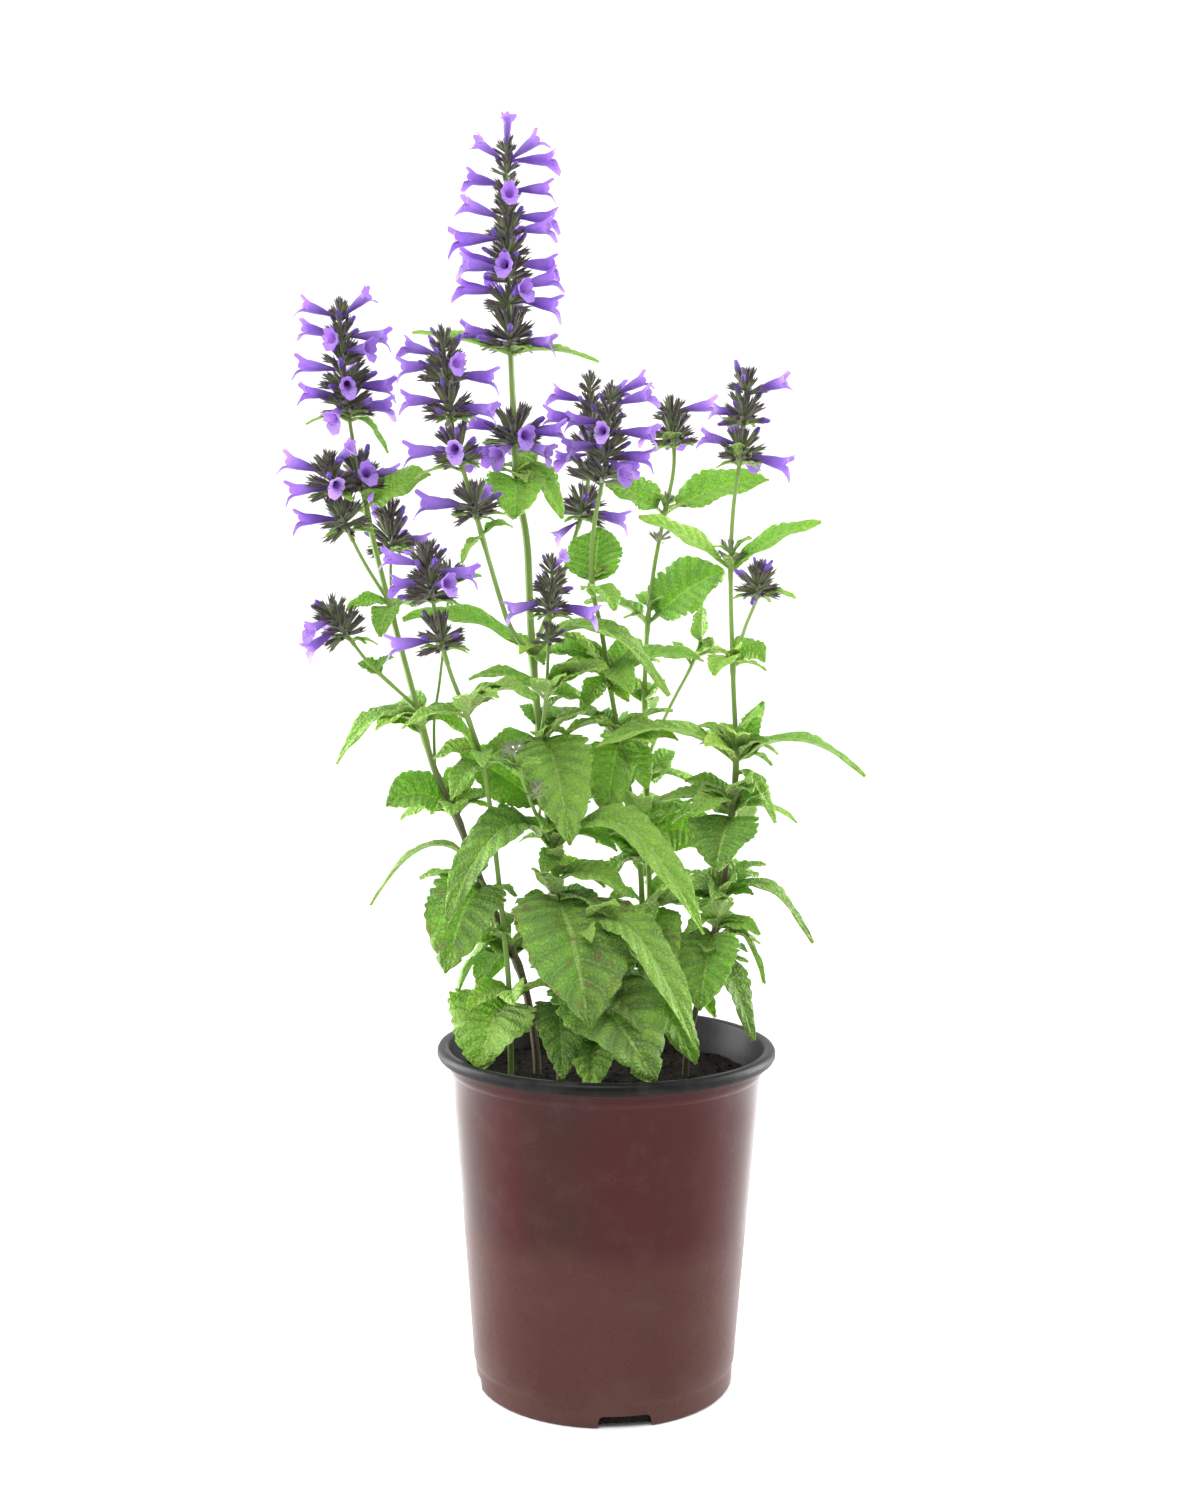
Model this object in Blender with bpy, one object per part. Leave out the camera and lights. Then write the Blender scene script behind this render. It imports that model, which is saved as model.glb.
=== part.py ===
"""A catmint plant in flower, in its one-gallon nursery pot.

The pot stands on z = 0 with its axis on the z axis, and the plant's best side faces -Y. All sizes in this
file are millimetres; the meshes are made in metres. A place on the plant is (right, away, up) from the
middle of the pot's base.
"""

import math

import bpy
from mathutils import Vector

for old in list(bpy.data.objects):
    bpy.data.objects.remove(old)

MM = 0.001
GAP = 0.3
UP = Vector((0.0, 0.0, 1.0))

# The pot: a trade one-gallon size, thin walled, with a rolled lip over a narrow neck and a foot band
POT_HEIGHT = 167.0
LIP_RADIUS = 82.5
MOUTH_RADIUS = 76.7
LIP_DEPTH = 5.8
LIP_ROUNDING = 2.0
NECK_DEPTH = 12.5
NECK_STEP = 1.3
BODY_TOP_RADIUS = 75.2
BODY_FOOT_RADIUS = 64.2
FOOT_RADIUS = 62.9
FOOT_HEIGHT = 10.0
FOOT_FLARE = 0.3
FOOT_BEVEL = 2.5
WALL = 1.3
FLOOR = 2.0
POT_SIDES = 24
NOTCH_WIDTH = 27.0
NOTCH_HEIGHT = 6.0
NOTCH_TAPER = 2.0
NOTCH_REACH = (56.0, 72.0)
NOTCH_ANGLES = (-81.0, 9.0, 99.0, 189.0)

# The soil fills the pot to a finger's width below its mouth, and is highest in its middle
SOIL_TOP = 150.0
SOIL_CROWN = 1.0
SOIL_CROWN_RADIUS = 42.0
HOLE_DEPTH = 14.0
HOLE_ABOVE = 9.0
HOLE_SIDES = 6

# Leaves: half width along the blade is the width times rise**a * (1 - rise)**b
BLADE = 0.75
PETIOLE_SHARE = 0.14
PETIOLE_HALF = 0.95
LEAF_A = 0.45
LEAF_B = 1.0
LEAF_PEAK = (LEAF_A / (LEAF_A + LEAF_B)) ** LEAF_A * (LEAF_B / (LEAF_A + LEAF_B)) ** LEAF_B
TOOTH_CUT = 0.84
TOOTH_WIDTHS = (0.0, 11.0, 18.0, 31.0)
TOOTH_TIP = 0.62
TOOTH_NOTCH = 0.98
TIP_SHARE = 0.35
HALF_SHARE = 0.56
ARCH_PLACE = 0.45
FOLD = math.radians(16.0)

# Flower heads: a thin axis with rings of pointed calyces, their lifts in degrees above the horizontal
AXIS_RADIUS = 1.1
CORE_RADIUS = 3.8
RING_HALF = 2.9
RING_TURN = 0.25
BARE_LEAST = 5.0
CALYX = 9.0
WHORL_LIFTS = (2.0, 42.0)
SPIKE_LIFTS = (26.0, 56.0)
BUD_LIFTS = (12.0, 48.0)
BUD_HALF = 4.0
HEAD_SIDES = 5

# Corollas: tube rings are (share of the length, radius), lip points (share of the length, aside, up)
COROLLA = 27.0
TUBE_RINGS = ((0.02, 0.8), (0.72, 2.9))
UPPER_LIP = (0.94, 0.0, 4.0)
LOWER_LIP = ((0.84, -5.2, -2.6), (1.0, -3.0, -6.6), (1.0, 3.0, -6.6), (0.84, 5.2, -2.6))

# Stems are square, with a ring of corners at each step
STEM_STEP = 24.0

GREEN, DARK, VIOLET = 0, 1, 2
COLOURS = {
    "leaf_green": ((0.16, 0.33, 0.05), 0.5),
    "calyx_brown": ((0.05, 0.035, 0.04), 0.7),
    "corolla_violet": ((0.26, 0.13, 0.62), 0.6),
    "pot_maroon": ((0.16, 0.035, 0.028), 0.3),
    "soil_black": ((0.012, 0.009, 0.007), 0.95),
}


# Scene, materials and solids


def material(name):
    colour, roughness = COLOURS[name]
    made = bpy.data.materials.new(name)
    made.use_nodes = True
    shader = made.node_tree.nodes["Principled BSDF"]
    shader.inputs["Base Color"].default_value = (*colour, 1.0)
    shader.inputs["Roughness"].default_value = roughness
    shader.inputs["Metallic"].default_value = 0.0
    return made


def plant_materials():
    return [material(name) for name in ("leaf_green", "calyx_brown", "corolla_violet")]


def solid(name, points, faces, materials, colour=0):
    """An object from points in millimetres."""
    mesh = bpy.data.meshes.new(name)
    mesh.from_pydata([Vector(p) * MM for p in points], [], faces)
    for one in materials:
        mesh.materials.append(one)
    for face in mesh.polygons:
        face.material_index = colour
    mesh.update()
    made = bpy.data.objects.new(name, mesh)
    bpy.context.scene.collection.objects.link(made)
    return made


def apply_modifiers(target):
    graph = bpy.context.evaluated_depsgraph_get()
    before = target.data
    target.data = bpy.data.meshes.new_from_object(target.evaluated_get(graph))
    target.data.name = target.name
    target.modifiers.clear()
    bpy.data.meshes.remove(before)


def boolean(target, others, operation):
    """Joins or cuts with a whole collection at once, and removes what was used."""
    if not others:
        return
    group = bpy.data.collections.new("used")
    bpy.context.scene.collection.children.link(group)
    for other in others:
        bpy.context.scene.collection.objects.unlink(other)
        group.objects.link(other)
    step = target.modifiers.new(operation.lower(), "BOOLEAN")
    step.operation = operation
    step.operand_type = "COLLECTION"
    step.collection = group
    step.solver = "EXACT"
    apply_modifiers(target)
    for other in others:
        bpy.data.objects.remove(other)
    bpy.data.collections.remove(group)


# Lines: smooth curves that are read by height


def smooth_line(places, pieces=5):
    """Points along a smooth curve through the given places."""
    via = [Vector(place) for place in places]
    via = [2 * via[0] - via[1]] + via + [2 * via[-1] - via[-2]]
    line = []
    for a, b, c, d in zip(via, via[1:], via[2:], via[3:]):
        for i in range(pieces):
            t = i / pieces
            slope = c - a
            bend = 2 * a - 5 * b + 4 * c - d
            twist = 3 * b - a - 3 * c + d
            line.append(0.5 * (2 * b + slope * t + bend * t**2 + twist * t**3))
    line.append(via[-2])
    return line


def at_height(line, z):
    """Where a rising line passes a height, and its direction there."""
    for a, b in zip(line, line[1:]):
        if a.z <= z <= b.z:
            return a.lerp(b, (z - a.z) / (b.z - a.z)), (b - a).normalized()
    end = line[0] if z < line[0].z else line[-1]
    return end.copy(), (line[-1] - line[-2]).normalized()


def across(direction, angle):
    """A unit vector square to a rising direction, at an angle seen from above."""
    right = Vector((0.0, 1.0, 0.0)).cross(direction).normalized()
    back = direction.cross(right)
    return right * math.cos(angle) + back * math.sin(angle)


def turned(profile, sides):
    """A solid of revolution whose profile runs from the axis, round the outside, back to the axis."""
    points = [(0.0, 0.0, profile[0][1]), (0.0, 0.0, profile[-1][1])]
    for radius, z in profile[1:-1]:
        for k in range(sides):
            angle = 2 * math.pi * (k + 0.5) / sides
            points.append((radius * math.cos(angle), radius * math.sin(angle), z))
    rows = len(profile) - 2
    faces = []
    for k in range(sides):
        after = (k + 1) % sides
        faces.append((0, 2 + after, 2 + k))
        last = 2 + (rows - 1) * sides
        faces.append((1, last + k, last + after))
        for row in range(rows - 1):
            low = 2 + row * sides
            high = low + sides
            faces.append((low + k, low + after, high + after, high + k))
    return points, faces


# Stems, leaves, calyx rings and corollas


def stem(line, low, high, thick, thin, materials, sides=4):
    """A square stem from one height to another, closed at both ends."""
    rows = max(2, math.ceil((high - low) / STEM_STEP) + 1)
    points = []
    for row in range(rows):
        share = row / (rows - 1)
        centre, direction = at_height(line, low + (high - low) * share)
        radius = thick + (thin - thick) * share
        for k in range(sides):
            points.append(centre + across(direction, 2 * math.pi * (k + 0.5) / sides) * radius)
    faces = [tuple(reversed(range(sides)))]
    for row in range(rows - 1):
        for k in range(sides):
            a = row * sides + k
            b = row * sides + (k + 1) % sides
            faces.append((a, b, b + sides, a + sides))
    faces.append(tuple(range((rows - 1) * sides, rows * sides)))
    return solid("stem", points, faces, materials, GREEN)


def leaf(base, reach, arch, width, materials, turn=0.0):
    """A toothed leaf from its node to its hanging tip.

    reach is the way from node to tip, arch how far the midrib's middle stands above the straight line
    between them, and turn how far the upper face is turned towards the viewer, in degrees.
    """
    base = Vector(base)
    reach = Vector(reach)
    peak = base + reach * ARCH_PLACE + UP * (2 * arch)
    level = Vector((reach.x, reach.y, 0.0)).normalized()
    wing = level.cross(UP)
    side = -wing if wing.y > 1e-6 else wing
    lean = math.radians(turn)

    def station(t):
        """The midrib's place, the way out to one side, and which way the upper face looks."""
        place = base * (1 - t) ** 2 + peak * (2 * t * (1 - t)) + (base + reach) * t**2
        along = ((peak - base) * (1 - t) + (base + reach - peak) * t).normalized()
        upper = wing.cross(along)
        outward = side * math.cos(lean) - upper * math.sin(lean)
        return place, outward, upper * math.cos(lean) + side * math.sin(lean)

    # Places along the midrib, and along the edge: petiole, then each tooth's tip and the notch after it
    teeth = sum(width > least for least in TOOTH_WIDTHS)
    step = (1 - PETIOLE_SHARE) / (teeth + TIP_SHARE)
    ribs = [0.0] + [PETIOLE_SHARE + (1 - PETIOLE_SHARE) * k / teeth for k in range(teeth)]
    edge = [(0.0, 1.0), (PETIOLE_SHARE, 1.0)]
    for k in range(teeth):
        edge.append((PETIOLE_SHARE + step * (k + TOOTH_TIP), 1.0))
        edge.append((PETIOLE_SHARE + step * (k + TOOTH_NOTCH), TOOTH_CUT))
    edge.pop()

    across_leaf = [(t, 0.0) for t in ribs]
    across_leaf += [(t, -half_width(t, width) * cut) for t, cut in edge]
    across_leaf += [(t, half_width(t, width) * cut) for t, cut in edge]
    across_leaf.append((1.0, 0.0))
    under = []
    over = []
    for t, out in across_leaf:
        place, outward, upper = station(t)
        place = place + outward * (out * math.cos(FOLD)) + upper * (abs(out) * math.sin(FOLD))
        under.append(place - upper * (BLADE / 2))
        over.append(place + upper * (BLADE / 2))

    count = len(under)
    rib_row = list(enumerate(ribs)) + [(count - 1, 1.0)]
    faces = []
    for side_number in (0, 1):
        start = len(ribs) + side_number * len(edge)
        edge_row = [(start + k, t) for k, (t, _) in enumerate(edge)] + [(count - 1, 1.0)]
        order = 1 if side_number else -1
        for triangle in zip_rows(rib_row, edge_row):
            faces.append(triangle[::order])
            faces.append(tuple(i + count for i in triangle[::-order]))
        for (a, _), (b, _) in zip(edge_row, edge_row[1:]):
            faces.append((a, b, b + count, a + count)[::-order])
        faces.append((start, start + count, count, 0)[::-order])
    made = solid("leaf", under + over, faces, materials, GREEN)
    if signed_volume(made) < 0:
        made.data.flip_normals()
    return made


def half_width(t, width):
    """Half the blade's width at a place along the leaf."""
    rise = max(0.0, (t - PETIOLE_SHARE) / (1 - PETIOLE_SHARE))
    return max(PETIOLE_HALF, HALF_SHARE * width * rise**LEAF_A * (1 - rise) ** LEAF_B / LEAF_PEAK)


def zip_rows(first, second):
    """Triangles between two rows of (index, place along) that share their last point."""
    i = j = 0
    triangles = []
    while i < len(first) - 1 or j < len(second) - 1:
        forward = j == len(second) - 1 or (i < len(first) - 1 and first[i + 1][1] <= second[j + 1][1])
        new = first[i + 1][0] if forward else second[j + 1][0]
        triangle = (first[i][0], second[j][0], new)
        if len(set(triangle)) == 3:
            triangles.append(triangle)
        if forward:
            i += 1
        else:
            j += 1
    return triangles


def signed_volume(made):
    total = 0.0
    made.data.calc_loop_triangles()
    for triangle in made.data.loop_triangles:
        a, b, c = (made.data.vertices[i].co for i in triangle.vertices)
        total += a.dot(b.cross(c))
    return total


def calyx_axis(line, low, high, rings, materials, sides=HEAD_SIDES):
    """A head's axis with a ring of calyces at each of the heights, two rows of them to a ring.

    Each ring is (height, size, lower lift, upper lift): size scales the calyces, and a lift is a row's
    angle above the horizontal.
    """
    rows = [(low, AXIS_RADIUS, 0.0, None, 1.0)]
    for number, (z, size, lift_low, lift_high) in enumerate(rings):
        shift = RING_TURN * number
        half = RING_HALF * min(1.0, size)
        core = CORE_RADIUS * min(1.0, size)
        if z - half - rows[-1][0] > BARE_LEAST:
            rows.append((z - half, AXIS_RADIUS, shift, lift_low, size))
        else:
            rows[-1] = (*rows[-1][:3], lift_low, size)
        rows.append((z, core, shift, lift_high, size))
        rows.append((z + half, AXIS_RADIUS * 0.9, shift, None, size))
    points = []
    for z, radius, shift, _, _ in rows:
        centre, direction = at_height(line, z)
        for k in range(sides):
            points.append(centre + across(direction, 2 * math.pi * (k + shift) / sides) * radius)
    faces = [tuple(reversed(range(sides)))]
    for row, (_, _, shift, lift, size) in enumerate(rows[:-1]):
        for k in range(sides):
            a = row * sides + k
            b = row * sides + (k + 1) % sides
            ring = (a, b, b + sides, a + sides)
            if lift is None:
                faces.append(ring)
                continue
            middle = sum((points[i] for i in ring), Vector()) / 4
            _, direction = at_height(line, middle.z)
            out = across(direction, 2 * math.pi * (k + 0.5 + shift) / sides)
            angle = math.radians(lift)
            points.append(middle + (out * math.cos(angle) + direction * math.sin(angle)) * CALYX * size)
            apex = len(points) - 1
            faces += [(ring[i], ring[(i + 1) % 4], apex) for i in range(4)]
    top, direction = at_height(line, high)
    points.append(top + direction * GAP)
    apex = len(points) - 1
    last = (len(rows) - 1) * sides
    faces += [(last + k, last + (k + 1) % sides, apex) for k in range(sides)]
    return solid("axis", points, faces, materials, DARK)


def corolla(line, z, azimuth, tilt, size, materials):
    """A flower: a widening tube from the axis, an upper lip and a three-lobed lower lip."""
    base, _ = at_height(line, z)
    azimuth = math.radians(azimuth)
    tilt = math.radians(tilt)
    ahead = Vector((math.cos(azimuth) * math.cos(tilt), math.sin(azimuth) * math.cos(tilt), math.sin(tilt)))
    side = Vector((-math.sin(azimuth), math.cos(azimuth), 0.0))
    above = ahead.cross(side)
    if above.z < 0:
        above = -above
        side = -side
    length = COROLLA * size

    def place(forward, out, up):
        return base + ahead * (forward * length) + side * (out * size) + above * (up * size)

    points = []
    for forward, radius in TUBE_RINGS:
        for out, up in ((0, 1), (-1, 0), (0, -1), (1, 0)):
            points.append(place(forward, out * radius, up * radius))
    points += [place(*lobe) for lobe in (UPPER_LIP, *LOWER_LIP)]
    faces = [(0, 1, 2, 3)]
    for k in range(4):
        after = (k + 1) % 4
        faces.append((k + 4, after + 4, after, k))
    top, left, bottom, right, beak = 4, 5, 6, 7, 8
    lip = [left, 9, 10, 11, 12, right]
    faces += [(left, top, beak), (top, right, beak), (right, left, beak)]
    faces.append(tuple(lip[::-1]))
    faces += [(a, b, bottom) for a, b in zip(lip, lip[1:])]
    made = solid("corolla", points, faces, materials, VIOLET)
    if signed_volume(made) < 0:
        made.data.flip_normals()
    return made


# Leafy stems and flower heads


def leafy_stem(name, stalks, leaves, buds=()):
    """One node: a stem with its branches and leaves.

    stalks are (line, low, high, thick, thin), leaves are (line, height, reach, arch, width, turn) and buds
    are (line, height, size), rings of calyces that sit on the leafy part.
    """
    green = plant_materials()
    body, *branches = [stem(*stalk, green) for stalk in stalks]
    for line, height, reach, arch, width, turn in leaves:
        base, _ = at_height(line, height)
        branches.append(leaf(base, reach, arch, width, green, turn))
    for line, height, size in buds:
        rings = [(height, size, *BUD_LIFTS)]
        branches.append(calyx_axis(line, height - BUD_HALF, height + BUD_HALF, rings, green, HEAD_SIDES - 1))
    boolean(body, branches, "UNION")
    body.name = name
    return body


def flower_head(name, line, low, high, rings, flowers, bracts=()):
    """One node: an axis with its rings of calyces, its corollas and the small leaves under the rings."""
    colours = plant_materials()
    body = calyx_axis(line, low + GAP, high, rings, colours)
    parts = [corolla(line, z, azimuth, tilt, size, colours) for z, azimuth, tilt, size in flowers]
    for height, reach, arch, width, turn in bracts:
        base, _ = at_height(line, height)
        parts.append(leaf(base, reach, arch, width, colours, turn))
    boolean(body, parts, "UNION")
    body.name = name
    return body


def spike(low, high, count, big=1.0, small=0.55):
    """Rings of a dense spike, smaller and closer to upright towards its tip."""
    rings = []
    for k in range(count):
        share = k / (count - 1)
        size = big + (small - big) * share
        lift = SPIKE_LIFTS[0] + (SPIKE_LIFTS[1] - SPIKE_LIFTS[0]) * share
        rings.append((low + (high - low) * share**0.9, size, lift, None))
    return rings


def whorl(z, size=1.0):
    """A ring that stands alone, its calyces nearly level and half upright."""
    return (z, size, *WHORL_LIFTS)


# The pot and its soil


def pot_radius(z):
    """The inner wall's radius at a height above the foot band."""
    foot = FOOT_HEIGHT + FOOT_BEVEL
    share = (z - foot) / (POT_HEIGHT - NECK_DEPTH - foot)
    return BODY_FOOT_RADIUS + (BODY_TOP_RADIUS - BODY_FOOT_RADIUS) * share - WALL


def make_pot():
    """The pot, turned from its wall's profile, with its drain notches cut through the foot band."""
    foot = FOOT_HEIGHT + FOOT_BEVEL
    neck = POT_HEIGHT - NECK_DEPTH
    lip = POT_HEIGHT - LIP_DEPTH
    profile = [
        (0.0, 0.0),
        (FOOT_RADIUS, 0.0),
        (FOOT_RADIUS + FOOT_FLARE, FOOT_HEIGHT),
        (BODY_FOOT_RADIUS, foot),
        (BODY_TOP_RADIUS, neck),
        (BODY_TOP_RADIUS + NECK_STEP, neck + 2.0),
        (BODY_TOP_RADIUS + NECK_STEP + 0.2, lip - 0.3),
        (LIP_RADIUS - LIP_ROUNDING / 2, lip),
        (LIP_RADIUS, lip + LIP_ROUNDING),
        (LIP_RADIUS - 0.8 * LIP_ROUNDING, POT_HEIGHT),
        (MOUTH_RADIUS, POT_HEIGHT - 0.3 * LIP_ROUNDING),
        (BODY_TOP_RADIUS - WALL, neck),
        (BODY_FOOT_RADIUS - WALL, foot),
        (FOOT_RADIUS + FOOT_FLARE - WALL, FOOT_HEIGHT),
        (FOOT_RADIUS - WALL, FLOOR),
        (0.0, FLOOR),
    ]
    points, faces = turned(profile, POT_SIDES)
    pot = solid("pot", points, faces, [material("pot_maroon")])
    notches = []
    for degrees in NOTCH_ANGLES:
        angle = math.radians(degrees)
        ahead = Vector((math.cos(angle), math.sin(angle), 0.0))
        aside = Vector((-math.sin(angle), math.cos(angle), 0.0))
        near, far = NOTCH_REACH
        corners = []
        for z, half in ((-2.0, NOTCH_WIDTH / 2), (NOTCH_HEIGHT, NOTCH_WIDTH / 2 - NOTCH_TAPER)):
            for out, along in ((near, -half), (far, -half), (far, half), (near, half)):
                corners.append(ahead * out + aside * along + UP * z)
        box = [(0, 3, 2, 1), (4, 5, 6, 7), (0, 1, 5, 4), (1, 2, 6, 5), (2, 3, 7, 6), (3, 0, 4, 7)]
        notches.append(solid("notch", corners, box, []))
    boolean(pot, notches, "DIFFERENCE")
    pot.name = "pot"
    return pot


def make_soil(roots):
    """The soil that fills the pot, its top uneven, with a plain hole for each stem."""
    low = FLOOR + GAP
    top = SOIL_TOP
    profile = [
        (0.0, low),
        (FOOT_RADIUS - WALL - GAP, low),
        (FOOT_RADIUS + FOOT_FLARE - WALL - GAP, FOOT_HEIGHT),
        (BODY_FOOT_RADIUS - WALL - GAP, FOOT_HEIGHT + FOOT_BEVEL),
        (pot_radius(top) - GAP, top - SOIL_CROWN),
        (SOIL_CROWN_RADIUS, top + SOIL_CROWN),
        (0.0, top + SOIL_CROWN),
    ]
    points, faces = turned(profile, POT_SIDES)
    lumpy = []
    for x, y, z in points:
        if z > top + 0.1:
            z += 0.9 * math.sin(0.13 * x + 1.0) * math.cos(0.16 * y) + 0.5 * math.sin(0.31 * x - 0.27 * y)
        lumpy.append((x, y, z))
    soil = solid("soil", lumpy, faces, [material("soil_black")])
    holes = []
    for (x, y, _), radius in roots:
        floor, roof = top - HOLE_DEPTH, top + HOLE_ABOVE
        profile = [(0.0, floor), (radius, floor), (radius, roof), (0.0, roof)]
        points, faces = turned(profile, HOLE_SIDES)
        holes.append(solid("hole", [(px + x, py + y, pz) for px, py, pz in points], faces, []))
    boolean(soil, holes, "DIFFERENCE")
    soil.name = "soil"
    return soil


# The lines of the stems, each from its root or its parent's node to its last flower

TALL = smooth_line([
    (-22, -12, 128), (-22, -12, 156), (-24, -13, 190), (-25, -14, 225), (-26, -12, 260), (-31, -10, 300),
    (-35, -8, 335), (-38, -6, 372), (-40, -4, 410), (-45, -2, 438), (-47, -1, 475), (-49, 0, 515),
    (-50, 0, 560), (-51, 0, 604),
])
TALL_FRONT = smooth_line([
    (-33, -11, 313), (-30, -22, 336), (-29, -27, 355), (-28, -30, 376), (-27, -32, 404),
])
TALL_LEFT = smooth_line([
    (-37, -8, 356), (-46, -20, 368), (-51, -28, 382), (-57, -34, 403), (-65, -40, 432), (-71, -42, 453),
    (-75, -42, 477), (-77, -42, 505),
])
TALL_RIGHT = smooth_line([
    (-37, -6, 357), (-32, 8, 371), (-27, 16, 383), (-18, 26, 412), (-12, 32, 436), (-10, 35, 466),
    (-11, 36, 496),
])
TALL_YOUNG = smooth_line([
    (-27, -12, 268), (-34, -28, 282), (-39, -40, 297), (-44, -48, 312), (-47, -52, 326),
])
TALL_BUD = smooth_line([(-33, -26, 280), (-32, -36, 288), (-35, -46, 302)])
LEFT = smooth_line([
    (-34, 2, 128), (-34, 2, 156), (-37, 0, 180), (-42, -3, 202), (-51, -6, 224), (-61, -9, 247),
    (-72, -11, 277),
    (-84, -13, 304), (-93, -16, 338), (-102, -18, 372), (-111, -20, 408), (-117, -20, 436), (-122, -20, 463),
    (-125, -20, 490), (-127, -20, 522),
])
LEFT_SIDE = smooth_line([
    (-104, -18, 381), (-114, -27, 398), (-121, -33, 413), (-126, -38, 428), (-131, -42, 450),
])
LEFT_BACK = smooth_line([(-103, -18, 379), (-105, -4, 394), (-106, 6, 406), (-107, 12, 418), (-108, 15, 432)])
FAR_LEFT = smooth_line([
    (-91, -15, 331), (-102, -24, 342), (-112, -29, 352), (-121, -32, 364), (-134, -35, 382),
])
LEFT_THIN = smooth_line([(-83, -13, 303), (-85, 6, 324), (-83, 14, 343), (-80, 22, 378), (-79, 25, 402)])
FRONT = smooth_line([
    (-46, -14, 128), (-46, -14, 156), (-47, -14, 195), (-51, -14, 237), (-55, -15, 272), (-59, -26, 305),
    (-66, -38, 329), (-74, -47, 352), (-80, -51, 378), (-84, -51, 408),
])
MIDDLE = smooth_line([
    (16, 2, 128), (16, 2, 156), (17, 2, 227), (14, 2, 272), (7, 1, 305), (1, -1, 338), (-4, -3, 368),
    (-9, -5, 392),
    (-8, -7, 418), (-4, -8, 440), (-1, -9, 466), (0, -10, 486),
])
BACK = smooth_line([
    (25, 20, 128), (25, 20, 156), (24, 25, 195), (21, 32, 240), (19, 37, 295), (18, 42, 345),
    (21, 48, 390), (27, 51, 425),
    (32, 55, 452), (30, 57, 486),
])
BACK_YOUNG = smooth_line([(19, 38, 302), (27, 49, 320), (34, 55, 334), (42, 60, 349), (48, 62, 364)])
RIGHT = smooth_line([
    (39, 0, 128), (39, 0, 156), (42, 0, 177), (48, -1, 202), (55, -3, 238), (59, -5, 275), (61, -7, 306),
    (59, -9, 345),
    (57, -10, 395), (58, -10, 428), (62, -10, 460), (63, -10, 492),
])
RIGHT_SIDE = smooth_line([(59, -9, 354), (64, -20, 372), (68, -26, 384), (70, -29, 402)])
LOW = smooth_line([(-4, -20, 128), (-4, -20, 156), (-7, -22, 190), (-11, -27, 232)])


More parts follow.
